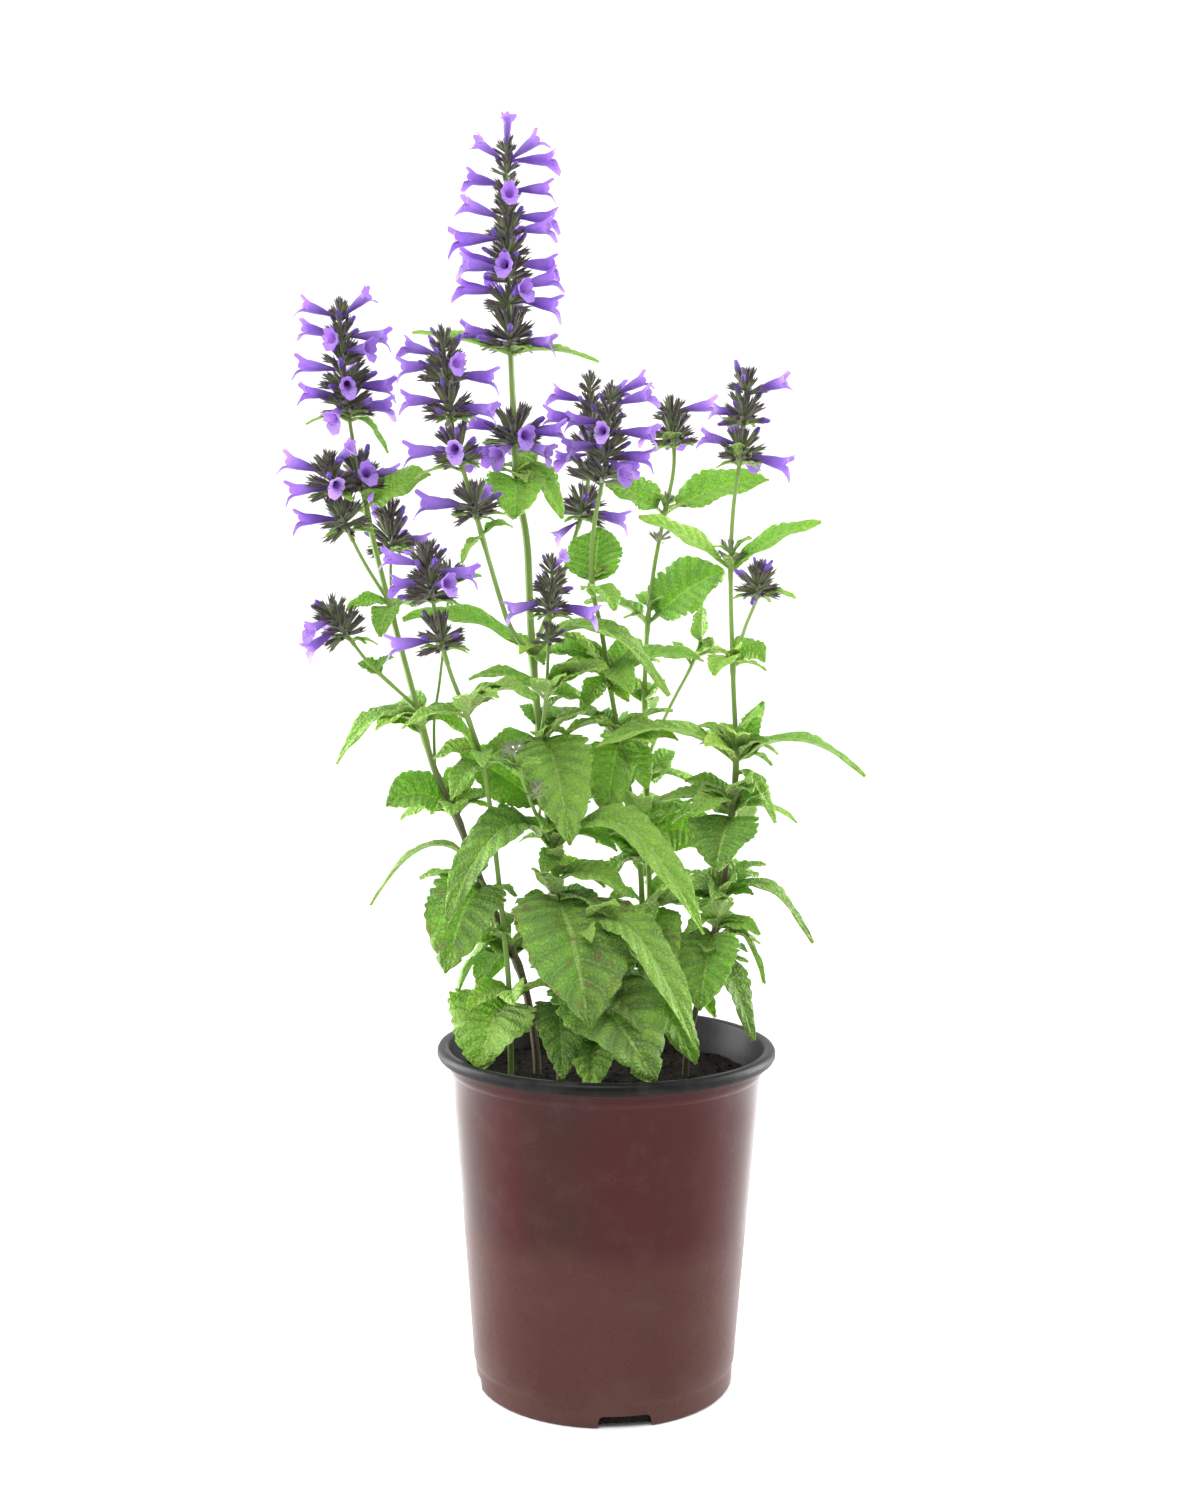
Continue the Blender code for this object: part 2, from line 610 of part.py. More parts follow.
def build():
    leafy_stem(
        "stem_tall",
        [
            (TALL, 137, 451, 2.3, 1.5),
            (TALL_FRONT, 313, 359, 1.1, 0.9),
            (TALL_LEFT, 356, 415, 1.3, 1.1),
            (TALL_RIGHT, 357, 418, 1.3, 1.1),
            (TALL_YOUNG, 268, 314, 1.0, 0.9),
            (TALL_BUD, 280, 294, 0.9, 0.8),
            (LOW, 137, 231, 1.6, 1.1),
        ],
        [
            (TALL, 438, (0, -22, -18), 7, 27, 0),
            (TALL, 440, (22, -8, -19), 11, 17, 25),
            (TALL, 437, (-3, 25, -8), 7, 20, 0),
            (TALL, 356, (-61, -12, 17), 9, 18, 25),
            (TALL, 356, (65, -14, -18), 22, 19, 15),
            (TALL, 315, (15, -30, -46), 14, 34, 10),
            (TALL, 317, (30, 34, 6), 8, 24, 0),
            (TALL, 281, (-43, 6, 28), 3, 27, 55),
            (TALL, 283, (26, 22, 8), 6, 20, 0),
            (TALL, 262, (-49, -34, -28), 27, 25, 20),
            (TALL, 262, (70, -40, -32), 31, 22, 20),
            (TALL, 248, (34, -18, -2), 7, 19, 20),
            (TALL, 240, (17, -44, -52), 13, 48, 0),
            (TALL, 226, (-12, 42, -20), 12, 26, 0),
            (TALL, 205, (47, -44, -42), 9, 42, 20),
            (TALL, 190, (4, -38, -28), 8, 24, 0),
            (LOW, 228, (52, -18, -54), 24, 24, 25),
            (LOW, 196, (28, -22, -18), 9, 24, 10),
            (LOW, 172, (-2, -36, -14), 7, 24, 0),
            (LOW, 172, (12, 18, -8), 6, 16, 0),
            (TALL_FRONT, 336, (-36, -4, 9), 7, 13, 20),
            (TALL_FRONT, 337, (27, -8, 14), 4, 14, 20),
            (TALL_LEFT, 411, (-9, -8, -12), 3, 8, 0),
            (TALL_LEFT, 412, (14, 4, 4), 3, 8, 20),
            (TALL_YOUNG, 305, (-11, -6, 6), 2, 7, 30),
            (TALL_YOUNG, 305, (10, -5, 3), 2, 7, 20),
        ],
        [(TALL_YOUNG, 313, 0.6), (TALL_BUD, 294, 0.55)],
    )
    flower_head(
        "head_tall", TALL, 451, 603,
        [whorl(459, 1.1), whorl(505, 1.05)] + spike(523, 593, 8),
        [
            (462, 175, 10, 1.0), (456, 203, -5, 0.9), (462, 5, 12, 1.0), (457, -28, -5, 0.9),
            (461, -75, 0, 0.9), (457, -112, -12, 0.9), (460, 88, 8, 1.0), (458, 132, -4, 0.9),
            (506, 190, 14, 1.0), (505, -8, 6, 0.95), (504, 92, 8, 0.9),
            (527, 186, 12, 1.0), (529, 6, 14, 1.05), (525, -14, -4, 1.1), (529, -68, -8, 0.9),
            (528, 80, 8, 1.0),
            (538, 203, 2, 1.0), (539, -95, -4, 0.9), (541, 20, 6, 1.0), (541, 166, 12, 1.05),
            (540, 110, 6, 1.0),
            (553, 180, 8, 1.1), (556, -15, 4, 1.0), (563, 12, 5, 1.0), (561, 196, 16, 1.0),
            (558, 85, 10, 1.0),
            (568, -82, 5, 0.85), (575, -2, 6, 0.95), (577, 162, 14, 0.95), (574, 95, 14, 0.9),
            (588, 203, 28, 0.8), (588, -20, 30, 0.85), (589, 18, 14, 0.95), (592, -90, 76, 0.75),
        ],
        [(499, (-47, 2, 10), 2, 11, 20), (499, (42, -4, -4), 4, 9, 15), (452, (8, 22, -4), 3, 10, 0)],
    )
    flower_head(
        "head_tall_front", TALL_FRONT, 359, 403,
        [whorl(364, 0.6), whorl(378, 0.8), (388, 0.75, 20, 48), (396, 0.6, 38, 62)],
        [(382, 196, -12, 0.9), (381, -12, -8, 1.0), (396, -58, 38, 0.6)],
    )
    flower_head(
        "head_tall_left", TALL_LEFT, 415, 504,
        [whorl(423, 0.95), whorl(447, 0.95), whorl(467, 0.95), (482, 1.0, 16, 44), (490, 0.85, 28, 52),
         (497, 0.65, 40, 64)],
        [
            (425, 182, 5, 1.05), (427, 70, 8, 0.9), (450, 186, 3, 1.05), (452, -88, 0, 0.85),
            (449, 80, 5, 0.9),
            (470, -14, -4, 0.95), (472, 190, -2, 0.95), (484, -6, 2, 1.0), (487, -72, 2, 0.85),
            (488, 192, 6, 0.95), (492, 172, 20, 0.85), (486, 92, 10, 0.95),
        ],
        [(441, (-22, -2, -4), 3, 5, 10)],
    )
    flower_head(
        "head_tall_right", TALL_RIGHT, 418, 495,
        [whorl(426, 0.95)] + spike(446, 487, 5, 1.0, 0.6),
        [
            (426, 12, -3, 1.0), (422, 196, -24, 0.7), (471, 178, 4, 0.95), (480, 168, 14, 0.85),
            (482, 24, 18, 0.85), (462, 95, 8, 0.95), (455, 140, 2, 0.9), (476, 80, 16, 0.85),
        ],
    )
    leafy_stem(
        "stem_left",
        [
            (LEFT, 137, 428, 2.2, 1.4),
            (LEFT_SIDE, 381, 409, 1.0, 0.9),
            (LEFT_BACK, 379, 402, 1.0, 0.9),
            (FAR_LEFT, 331, 361, 1.0, 0.9),
            (LEFT_THIN, 303, 385, 1.0, 0.8),
        ],
        [
            (LEFT, 425, (31, -10, 15), 2, 20, 50),
            (LEFT, 422, (-15, 13, -3), 3, 10, 0),
            (LEFT, 380, (-19, -8, -3), 3, 11, 30),
            (LEFT, 378, (-3, -17, -13), 4, 13, 0),
            (LEFT, 377, (9, 20, 2), 3, 12, 0),
            (LEFT, 318, (-40, -12, -13), 16, 19, 12),
            (LEFT, 320, (-22, 18, 2), 7, 14, 0),
            (LEFT, 322, (22, 14, 6), 5, 12, 20),
            (LEFT, 277, (-33, -13, 8), 10, 24, 45),
            (LEFT, 279, (20, 26, 4), 7, 18, 0),
            (LEFT, 254, (-50, -4, -18), 19, 12, 0),
            (LEFT, 243, (-16, -34, -34), 12, 31, 10),
            (LEFT, 216, (-28, 4, -32), 13, 18, 10),
            (LEFT, 206, (-20, 32, -20), 12, 24, 0),
            (FAR_LEFT, 346, (-12, 2, 6), 2, 9, 40),
            (FAR_LEFT, 349, (8, 3, 6), 2, 6, 20),
        ],
    )
    flower_head(
        "head_left", LEFT, 428, 521,
        [whorl(436, 1.05), whorl(471, 1.0)] + spike(482, 513, 4, 1.0, 0.6),
        [
            (438, -78, 8, 0.9), (439, 198, 8, 0.8), (437, 86, 0, 1.0), (440, 12, 14, 0.8),
            (472, 30, 2, 0.9), (474, -112, -32, 0.85), (476, 188, 2, 0.95), (481, -10, -4, 1.0),
            (483, -84, -8, 0.85), (488, 180, 4, 0.95), (486, 85, 8, 1.0), (497, -44, 4, 0.9),
            (500, -100, 2, 0.8), (503, 172, 14, 0.85), (504, -8, 8, 0.9), (504, 95, 16, 0.85),
            (512, 198, 14, 0.8), (512, -24, 34, 0.85),
        ],
        [(465, (-20, -2, -2), 3, 6, 10), (465, (18, -4, -15), 6, 6, 10)],
    )
    flower_head(
        "head_left_side", LEFT_SIDE, 409, 449,
        [whorl(417, 0.95), whorl(433, 0.95), (441, 0.7, 34, 58)],
        [(419, 190, 4, 0.95), (433, 176, -5, 0.95), (436, -74, -4, 0.8), (439, 186, 18, 0.9), (441, -40, 30, 0.75)],
    )
    flower_head(
        "head_left_back", LEFT_BACK, 402, 431,
        [whorl(409, 0.95), (422, 0.75, 24, 52)],
        [(412, 14, 2, 0.85), (424, 120, 18, 0.8), (411, 84, 6, 0.95)],
    )
    flower_head(
        "head_far_left", FAR_LEFT, 361, 381,
        [whorl(367, 0.9), (374, 0.8, 26, 54)],
        [(369, 206, -30, 0.85), (373, -128, -16, 0.8), (371, 108, -6, 0.85)],
    )
    flower_head("head_left_thin", LEFT_THIN, 385, 401, [(392, 0.8, 14, 50)], [], [(388, (16, 3, 6), 2, 6, 20)])
    leafy_stem(
        "stem_front",
        [(FRONT, 137, 353, 1.9, 1.2)],
        [
            (FRONT, 328, (-30, -6, -5), 5, 13, 15),
            (FRONT, 329, (32, -8, 8), 9, 18, 15),
            (FRONT, 304, (-14, -16, -14), 6, 15, 10),
            (FRONT, 188, (-14, -20, -26), 10, 38, 10),
        ],
    )
    flower_head(
        "head_front", FRONT, 353, 407,
        [whorl(363, 0.9), whorl(385, 0.95), (394, 0.9, 20, 48), (401, 0.65, 38, 62)],
        [(364, 187, 3, 1.0), (395, -10, 5, 1.0), (397, 197, 14, 0.9), (388, -62, 12, 0.85), (390, 150, 6, 0.85)],
    )
    leafy_stem(
        "stem_middle",
        [(MIDDLE, 137, 432, 2.1, 1.3)],
        [
            (MIDDLE, 388, (3, 9, 30), 1, 28, 0),
            (MIDDLE, 388, (11, -15, -10), 4, 15, 0),
            (MIDDLE, 350, (-30, 10, 8), 5, 15, 40),
            (MIDDLE, 344, (45, -6, 10), 8, 15, 25),
            (MIDDLE, 343, (-13, -9, -14), 5, 14, 20),
            (MIDDLE, 315, (-6, -13, -38), 8, 27, 0),
            (MIDDLE, 315, (14, 28, -4), 8, 20, 0),
            (MIDDLE, 309, (12, -12, -16), 7, 18, 15),
            (MIDDLE, 282, (-24, 18, 2), 5, 18, 0),
            (MIDDLE, 268, (10, -26, -14), 8, 18, 10),
            (MIDDLE, 256, (-16, -8, -8), 5, 16, 0),
            (MIDDLE, 230, (14, -28, -20), 9, 22, 0),
            (MIDDLE, 205, (-20, 28, -16), 10, 24, 0),
            (MIDDLE, 190, (26, -24, -28), 7, 22, 15),
        ],
    )
    flower_head(
        "head_middle", MIDDLE, 432, 485,
        spike(441, 477, 5, 1.05, 0.6),
        [
            (446, 35, 2, 0.9), (450, -62, -18, 0.9), (452, -2, 4, 1.0), (456, 205, -6, 0.9),
            (462, -18, 6, 1.05),
            (466, 190, 12, 0.9), (462, -105, 0, 0.85), (474, -22, 14, 0.9), (478, 12, 34, 0.8),
        ],
    )
    leafy_stem(
        "stem_back",
        [(BACK, 137, 457, 2.1, 1.2), (BACK_YOUNG, 302, 362, 1.1, 0.8)],
        [
            (BACK, 426, (-30, -6, 14), 4, 22, 50),
            (BACK, 426, (53, 4, 18), 5, 22, 45),
            (BACK, 371, (38, -8, 27), 4, 32, 60),
            (BACK, 371, (-32, 16, 10), 6, 20, 0),
            (BACK, 331, (10, -6, 12), 1, 13, 30),
            (BACK, 331, (-12, 18, 6), 3, 15, 0),
            (BACK, 290, (6, 34, -2), 8, 20, 0),
            (BACK, 262, (31, -5, -2), 8, 26, 50),
            (BACK, 262, (-26, 24, -4), 8, 22, 0),
            (BACK, 232, (24, 26, -10), 10, 24, 0),
            (BACK, 196, (2, 36, -12), 10, 24, 0),
            (BACK, 190, (32, 22, -20), 10, 20, 0),
            (BACK_YOUNG, 350, (-10, 3, 12), 1, 8, 20),
            (BACK_YOUNG, 354, (9, -7, 6), 2, 15, 30),
            (BACK_YOUNG, 354, (28, 6, -3), 4, 10, 10),
            (BACK_YOUNG, 360, (1, -3, 20), 1, 11, 20),
        ],
        [(BACK, 413, 0.6), (BACK, 432, 0.5)],
    )
    flower_head(
        "head_back", BACK, 457, 485,
        [whorl(464, 0.95), (476, 0.8, 24, 54)],
        [(478, -12, 12, 0.95), (468, 150, 6, 0.85), (466, 70, 4, 0.9)],
        [(459, (-2, -10, 8), 1, 9, 0)],
    )
    leafy_stem(
        "stem_right",
        [(RIGHT, 137, 442, 2.1, 1.2), (RIGHT_SIDE, 354, 382, 1.0, 0.9)],
        [
            (RIGHT, 398, (-44, -10, 24), 3, 16, 35),
            (RIGHT, 398, (42, -6, 22), 4, 14, 35),
            (RIGHT, 354, (-10, -18, -6), 4, 15, 0),
            (RIGHT, 352, (15, -4, 2), 6, 17, 35),
            (RIGHT, 306, (-67, -16, 8), 12, 19, 15),
            (RIGHT, 306, (61, -8, -6), 14, 15, 10),
            (RIGHT, 300, (18, -14, -22), 8, 12, 0),
            (RIGHT, 309, (4, 28, 10), 4, 17, 0),
            (RIGHT, 307, (13, 3, 28), 0, 12, 40),
            (RIGHT, 281, (-38, -14, 6), 6, 15, 10),
            (RIGHT, 281, (31, -4, -4), 6, 11, 5),
            (RIGHT, 279, (-9, -26, -22), 5, 28, 0),
            (RIGHT, 280, (8, 24, -10), 6, 18, 0),
            (RIGHT, 237, (44, -8, -18), 17, 14, 10),
            (RIGHT, 237, (-37, -8, -3), 6, 15, 10),
            (RIGHT, 238, (-10, 24, 2), 5, 16, 0),
            (RIGHT, 221, (-8, -25, -32), 8, 26, 0),
            (RIGHT, 221, (26, 12, -26), 15, 17, 20),
            (RIGHT, 205, (22, -14, -33), 13, 18, 15),
        ],
        [(RIGHT, 404, 0.7)],
    )
    flower_head(
        "head_right", RIGHT, 442, 491,
        [whorl(451, 0.9), whorl(469, 0.85), (482, 0.8, 24, 54)],
        [
            (452, -6, -4, 1.0), (456, 172, 20, 0.85), (454, 75, 4, 0.95), (470, 195, 8, 0.7),
            (468, 100, 8, 0.85),
            (480, -14, 14, 0.9),
        ],
        [(446, (-2, -11, 10), 1, 10, 0), (446, (3, 11, 6), 2, 9, 0)],
    )
    flower_head(
        "head_right_side", RIGHT_SIDE, 382, 401,
        [whorl(388, 0.85), (395, 0.6, 36, 60)],
        [],
        [(384, (18, -4, 0), 3, 7, 15)],
    )
    roots = [(TALL[0], 3.0), (LEFT[0], 2.9), (FRONT[0], 2.6), (MIDDLE[0], 2.8), (BACK[0], 2.8)]
    roots += [(RIGHT[0], 2.8), (LOW[0], 2.3)]
    make_soil(roots)
    make_pot()


build()
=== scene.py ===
"""The looks of a catmint plant in flower, in its one-gallon nursery pot.

Lengths are metres, apart from the plant's layout, which is given in millimetres as (right, away, up) from
the middle of the pot's base.
"""

import math
import random

import bmesh
import bpy
from mathutils import Matrix, Vector, noise


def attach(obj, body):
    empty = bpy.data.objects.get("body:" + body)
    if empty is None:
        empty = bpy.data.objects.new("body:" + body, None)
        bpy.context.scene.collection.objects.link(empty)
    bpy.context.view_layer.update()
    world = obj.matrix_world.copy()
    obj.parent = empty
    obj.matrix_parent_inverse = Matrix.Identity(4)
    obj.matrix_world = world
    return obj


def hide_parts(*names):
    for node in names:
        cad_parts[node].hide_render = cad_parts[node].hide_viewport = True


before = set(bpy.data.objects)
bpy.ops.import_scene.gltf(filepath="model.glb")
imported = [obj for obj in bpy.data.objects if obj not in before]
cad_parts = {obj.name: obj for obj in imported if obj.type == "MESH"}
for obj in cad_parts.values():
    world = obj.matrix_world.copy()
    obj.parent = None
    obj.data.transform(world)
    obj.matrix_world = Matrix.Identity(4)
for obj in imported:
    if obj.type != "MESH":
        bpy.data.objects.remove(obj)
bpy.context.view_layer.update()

MM = 0.001


# The camera, the floor and the lamps
#
# The camera stands nearly a metre away and above the plant's middle, and looks slightly down. The floor is
# a pale paper sweep that curves up behind the plant. Soft lamps stand left, right, overhead and behind.

CAMERA_PLACE = (-0.0043, -0.9155, 0.3815)
CAMERA_DIP = 4.43
CAMERA_ROLL = 0.46
CAMERA_LENS = 45.6
PAPER_WHITE = (0.9, 0.9, 0.9)
SKY_STRENGTH = 0.68

scene = bpy.context.scene
scene.view_settings.view_transform = "Standard"

camera = bpy.data.objects.new("camera", bpy.data.cameras.new("camera"))
scene.collection.objects.link(camera)
camera.data.lens = CAMERA_LENS
camera.data.sensor_width = 36.0
camera.matrix_world = (
    Matrix.Translation(CAMERA_PLACE)
    @ Matrix.Rotation(math.radians(90 - CAMERA_DIP), 4, "X")
    @ Matrix.Rotation(math.radians(CAMERA_ROLL), 4, "Z")
)
scene.camera = camera

SWEEP_HALF_WIDTH = 3.0
SWEEP_FRONT = -2.6
SWEEP_BEND = 1.2
SWEEP_RADIUS = 0.9
SWEEP_TOP = 3.4
SWEEP_STEPS = 24

sweep_line = [(SWEEP_FRONT, 0.0), (SWEEP_BEND, 0.0)]
for step in range(1, SWEEP_STEPS + 1):
    turn = math.pi / 2 * step / SWEEP_STEPS
    sweep_line.append((SWEEP_BEND + SWEEP_RADIUS * math.sin(turn), SWEEP_RADIUS * (1 - math.cos(turn))))
sweep_line.append((SWEEP_BEND + SWEEP_RADIUS, SWEEP_TOP))
sweep_points = [(x, y, z) for y, z in sweep_line for x in (-SWEEP_HALF_WIDTH, SWEEP_HALF_WIDTH)]
sweep_faces = [(2 * i, 2 * i + 1, 2 * i + 3, 2 * i + 2) for i in range(len(sweep_line) - 1)]
sweep_mesh = bpy.data.meshes.new("paper_sweep")
sweep_mesh.from_pydata(sweep_points, [], sweep_faces)
sweep_mesh.shade_smooth()
sweep = bpy.data.objects.new("paper_sweep", sweep_mesh)
scene.collection.objects.link(sweep)

paper = bpy.data.materials.new("paper")
paper.use_nodes = True
paper.node_tree.nodes["Principled BSDF"].inputs["Base Color"].default_value = (*PAPER_WHITE, 1)
paper.node_tree.nodes["Principled BSDF"].inputs["Roughness"].default_value = 0.95
sweep_mesh.materials.append(paper)

sky = bpy.data.worlds.new("studio")
sky.use_nodes = True
sky.node_tree.nodes["Background"].inputs["Color"].default_value = (1.0, 1.0, 1.0, 1)
sky.node_tree.nodes["Background"].inputs["Strength"].default_value = SKY_STRENGTH
scene.world = sky


def soft_lamp(name, place, aim, width, height, power):
    """A large soft lamp that faces the point it is aimed at."""
    lamp = bpy.data.objects.new(name, bpy.data.lights.new(name, "AREA"))
    scene.collection.objects.link(lamp)
    lamp.data.shape = "RECTANGLE"
    lamp.data.size = width
    lamp.data.size_y = height
    lamp.data.energy = power
    place = Vector(place)
    turned_to = (Vector(aim) - place).to_track_quat("-Z", "Y").to_matrix().to_4x4()
    lamp.matrix_world = Matrix.Translation(place) @ turned_to


FOLIAGE_FOOT = (0, 0, 0.25)
soft_lamp("lamp_left", (-1.5, -0.5, 0.7), FOLIAGE_FOOT, 0.5, 1.3, 12)
soft_lamp("lamp_right", (1.5, -0.3, 0.7), FOLIAGE_FOOT, 0.5, 1.3, 7)
soft_lamp("lamp_above", (-0.3, -0.9, 2.1), (0, 0, 0.35), 1.2, 1.0, 28)
soft_lamp("lamp_back_left", (-1.25, 0.6, 0.5), FOLIAGE_FOOT, 0.75, 1.3, 36)
soft_lamp("lamp_back_right", (1.25, 0.6, 0.5), FOLIAGE_FOOT, 0.75, 1.3, 36)


# The pot
#
# A trade one-gallon nursery pot, thermoformed from sheet that is maroon outside and black inside. Its lip is
# rolled over, so it shows the black side, and a shallow foot band has four drain notches.


class Wire:
    """A node's output, with sums on it written as Python sums and any other node added by node()."""

    def __init__(self, socket):
        self.socket = socket
        self.tree = socket.id_data

    def node(self, kind, settings=(), inputs=(), out=0):
        """Adds a node, sets it, joins or fills its inputs, and returns one of its outputs."""
        made = self.tree.nodes.new(kind)
        for name, value in dict(settings).items():
            setattr(made, name, value)
        for key, value in dict(inputs).items():
            if isinstance(value, Wire):
                self.tree.links.new(value.socket, made.inputs[key])
            else:
                made.inputs[key].default_value = value
        return Wire(made.outputs[out])

    def sum(self, operation, *values):
        """A Math node on numbers, or a Vector Math node where any value is a vector."""
        vector = any(isinstance(v, tuple) or getattr(v, "is_vector", False) for v in values)
        if vector:
            values = [(v, v, v) if isinstance(v, (int, float)) else v for v in values]
        kind = "ShaderNodeVectorMath" if vector else "ShaderNodeMath"
        return self.node(kind, {"operation": operation}, dict(enumerate(values)))

    @property
    def is_vector(self):
        return self.socket.type == "VECTOR"

    def __add__(self, other):
        return self.sum("ADD", self, other)

    def __radd__(self, other):
        return self.sum("ADD", other, self)

    def __sub__(self, other):
        return self.sum("SUBTRACT", self, other)

    def __rsub__(self, other):
        return self.sum("SUBTRACT", other, self)

    def __mul__(self, other):
        return self.sum("MULTIPLY", self, other)

    def __rmul__(self, other):
        return self.sum("MULTIPLY", other, self)

    def __pow__(self, other):
        return self.sum("POWER", self, other)

    def cross(self, other):
        return self.sum("CROSS_PRODUCT", self, other)

    def unit(self):
        return self.node("ShaderNodeVectorMath", {"operation": "NORMALIZE"}, {0: self})

    def axis(self, number):
        """One of a vector's three parts."""
        return self.node("ShaderNodeSeparateXYZ", (), {0: self}, number)

    def size(self):
        """A number without its sign."""
        return self.sum("ABSOLUTE", self)

    def between(self, low, high):
        """0 below low, 1 above high, and smooth in between."""
        smoothly = {"interpolation_type": "SMOOTHSTEP"}
        return self.node("ShaderNodeMapRange", smoothly, {0: self, 1: low, 2: high})

    def mix(self, first, second):
        """The first colour where this is 0 and the second where it is 1."""
        colours = {6: first, 7: second}
        colours = {key: (*c, 1.0) if isinstance(c, tuple) else c for key, c in colours.items()}
        return self.node("ShaderNodeMix", {"data_type": "RGBA"}, {0: self, **colours}, 2)

    def speckle(self, scale, detail=3.0, rough=0.5):
        """Noise from 0 to 1 at a place."""
        numbers = {"Scale": scale, "Detail": detail, "Roughness": rough}
        return self.node("ShaderNodeTexNoise", (), {"Vector": self, **numbers})


def finish(name):
    """A new material, its shader, and its Object coordinates."""
    made = bpy.data.materials.new(name)
    made.use_nodes = True
    shader = made.node_tree.nodes["Principled BSDF"]
    start = Wire(shader.outputs[0])
    return made, shader, start.node("ShaderNodeTexCoord", out="Object")


def feed(shader, **values):
    """Joins or sets the shader's sockets, named with underscores for spaces."""
    for name, value in values.items():
        socket = shader.inputs[name.replace("_", " ")]
        if isinstance(value, Wire):
            value.tree.links.new(value.socket, socket)
        else:
            socket.default_value = value


def bump(height, strength, distance):
    """A normal from a height between 0 and 1, which stands for a distance in metres."""
    return height.node("ShaderNodeBump", (), {"Height": height, "Strength": strength, "Distance": distance})


POT_HEIGHT = 0.167
LIP_RADIUS = 0.0825
MOUTH_RADIUS = 0.0767
LIP_DEPTH = 0.0058
LIP_BOTTOM = POT_HEIGHT - LIP_DEPTH
NECK_DEPTH = 0.0125
NECK_HEIGHT = POT_HEIGHT - NECK_DEPTH
BODY_TOP_RADIUS = 0.0752
BODY_FOOT_RADIUS = 0.0642
FOOT_RADIUS = 0.0629
FOOT_HEIGHT = 0.010
FOOT_BEVEL = 0.003
WALL = 0.0013
WALL_FOOT = FOOT_HEIGHT + 0.0025
WALL_ROWS = 10
FLOOR = 0.002
POT_SIDES = 160
NOTCH_ANGLES = (-81.0, 9.0, 99.0, 189.0)
NOTCH_WIDTH = 0.027
NOTCH_HEIGHT = 0.006
NOTCH_TAPER = 0.003
NOTCH_REACH = (0.056, 0.072)

MAROON_RED = (0.046, 0.0025, 0.0032)
MAROON_BROWN = (0.030, 0.0060, 0.0040)
# Painted reflection: a lighter brown painted on the pot's lower half
REFLECTION_BROWN = (0.060, 0.0160, 0.0110)
POT_DUST = (0.095, 0.048, 0.042)
# Painted reflection: the height of the wavy line below which the pot is painted lighter brown, and how far it
# fades below and above
REFLECTION_LINE = 0.083
REFLECTION_FADE = (0.010, 0.008)
BLACK_PLASTIC = (0.0045, 0.0045, 0.005)
BLACK_DUST = (0.022, 0.020, 0.019)


def pot_profile():
    """The pot's section, from the middle of its base, round the outside and back inside to its floor."""
    outside = [
        (0.0, 0.0), (FOOT_RADIUS - 0.004, 0.0), (FOOT_RADIUS - 0.0008, 0.0002), (FOOT_RADIUS, 0.0012),
        (FOOT_RADIUS + 0.0003, FOOT_HEIGHT - 0.001), (FOOT_RADIUS + 0.0004, FOOT_HEIGHT),
        (BODY_FOOT_RADIUS - 0.0004, FOOT_HEIGHT + 0.0018), (BODY_FOOT_RADIUS, FOOT_HEIGHT + FOOT_BEVEL),
    ]
    wall_height = NECK_HEIGHT - 0.0006 - FOOT_HEIGHT - FOOT_BEVEL
    for k in range(1, WALL_ROWS + 1):
        share = k / WALL_ROWS
        radius = BODY_FOOT_RADIUS + (BODY_TOP_RADIUS - BODY_FOOT_RADIUS) * share
        outside.append((radius, FOOT_HEIGHT + FOOT_BEVEL + wall_height * share))
    outside += [
        (BODY_TOP_RADIUS + 0.0003, NECK_HEIGHT), (BODY_TOP_RADIUS + 0.0013, NECK_HEIGHT + 0.0014),
        (BODY_TOP_RADIUS + 0.0015, NECK_HEIGHT + 0.003), (BODY_TOP_RADIUS + 0.0016, LIP_BOTTOM - 0.0012),
        (BODY_TOP_RADIUS + 0.0022, LIP_BOTTOM - 0.0002), (LIP_RADIUS - 0.0022, LIP_BOTTOM),
        (LIP_RADIUS - 0.0008, LIP_BOTTOM + 0.0005), (LIP_RADIUS, LIP_BOTTOM + 0.0019),
        (LIP_RADIUS - 0.0001, POT_HEIGHT - 0.0020), (LIP_RADIUS - 0.0008, POT_HEIGHT - 0.0007),
        (LIP_RADIUS - 0.0021, POT_HEIGHT), (MOUTH_RADIUS + 0.0016, POT_HEIGHT),
        (MOUTH_RADIUS + 0.0004, POT_HEIGHT - 0.0006), (MOUTH_RADIUS - 0.0003, POT_HEIGHT - 0.0022),
        (BODY_TOP_RADIUS - WALL + 0.0012, NECK_HEIGHT + 0.0012),
    ]
    inside = [
        (BODY_TOP_RADIUS - WALL, NECK_HEIGHT - 0.0008), (BODY_FOOT_RADIUS - WALL, WALL_FOOT),
        (FOOT_RADIUS - WALL, FOOT_HEIGHT), (FOOT_RADIUS - WALL, FLOOR + 0.001),
        (FOOT_RADIUS - WALL - 0.001, FLOOR), (0.0, FLOOR),
    ]
    return outside + inside


def turned(name, profile, sides):
    """A closed solid of revolution from a profile that starts and ends on the axis."""
    points = [(0.0, 0.0, profile[0][1]), (0.0, 0.0, profile[-1][1])]
    for radius, z in profile[1:-1]:
        for k in range(sides):
            angle = 2 * math.pi * k / sides
            points.append((radius * math.cos(angle), radius * math.sin(angle), z))
    rows = len(profile) - 2
    faces = []
    for k in range(sides):
        after = (k + 1) % sides
        last = 2 + (rows - 1) * sides
        faces.append((0, 2 + after, 2 + k))
        faces.append((1, last + k, last + after))
        for row in range(rows - 1):
            low = 2 + row * sides
            high = low + sides
            faces.append((low + k, low + after, high + after, high + k))
    return shown(name, points, faces)


def shown(name, points, faces=(), edges=()):
    """An object in the scene from points, with faces or edges between them."""
    mesh = bpy.data.meshes.new(name)
    mesh.from_pydata(points, edges, faces)
    made = bpy.data.objects.new(name, mesh)
    scene.collection.objects.link(made)
    return made


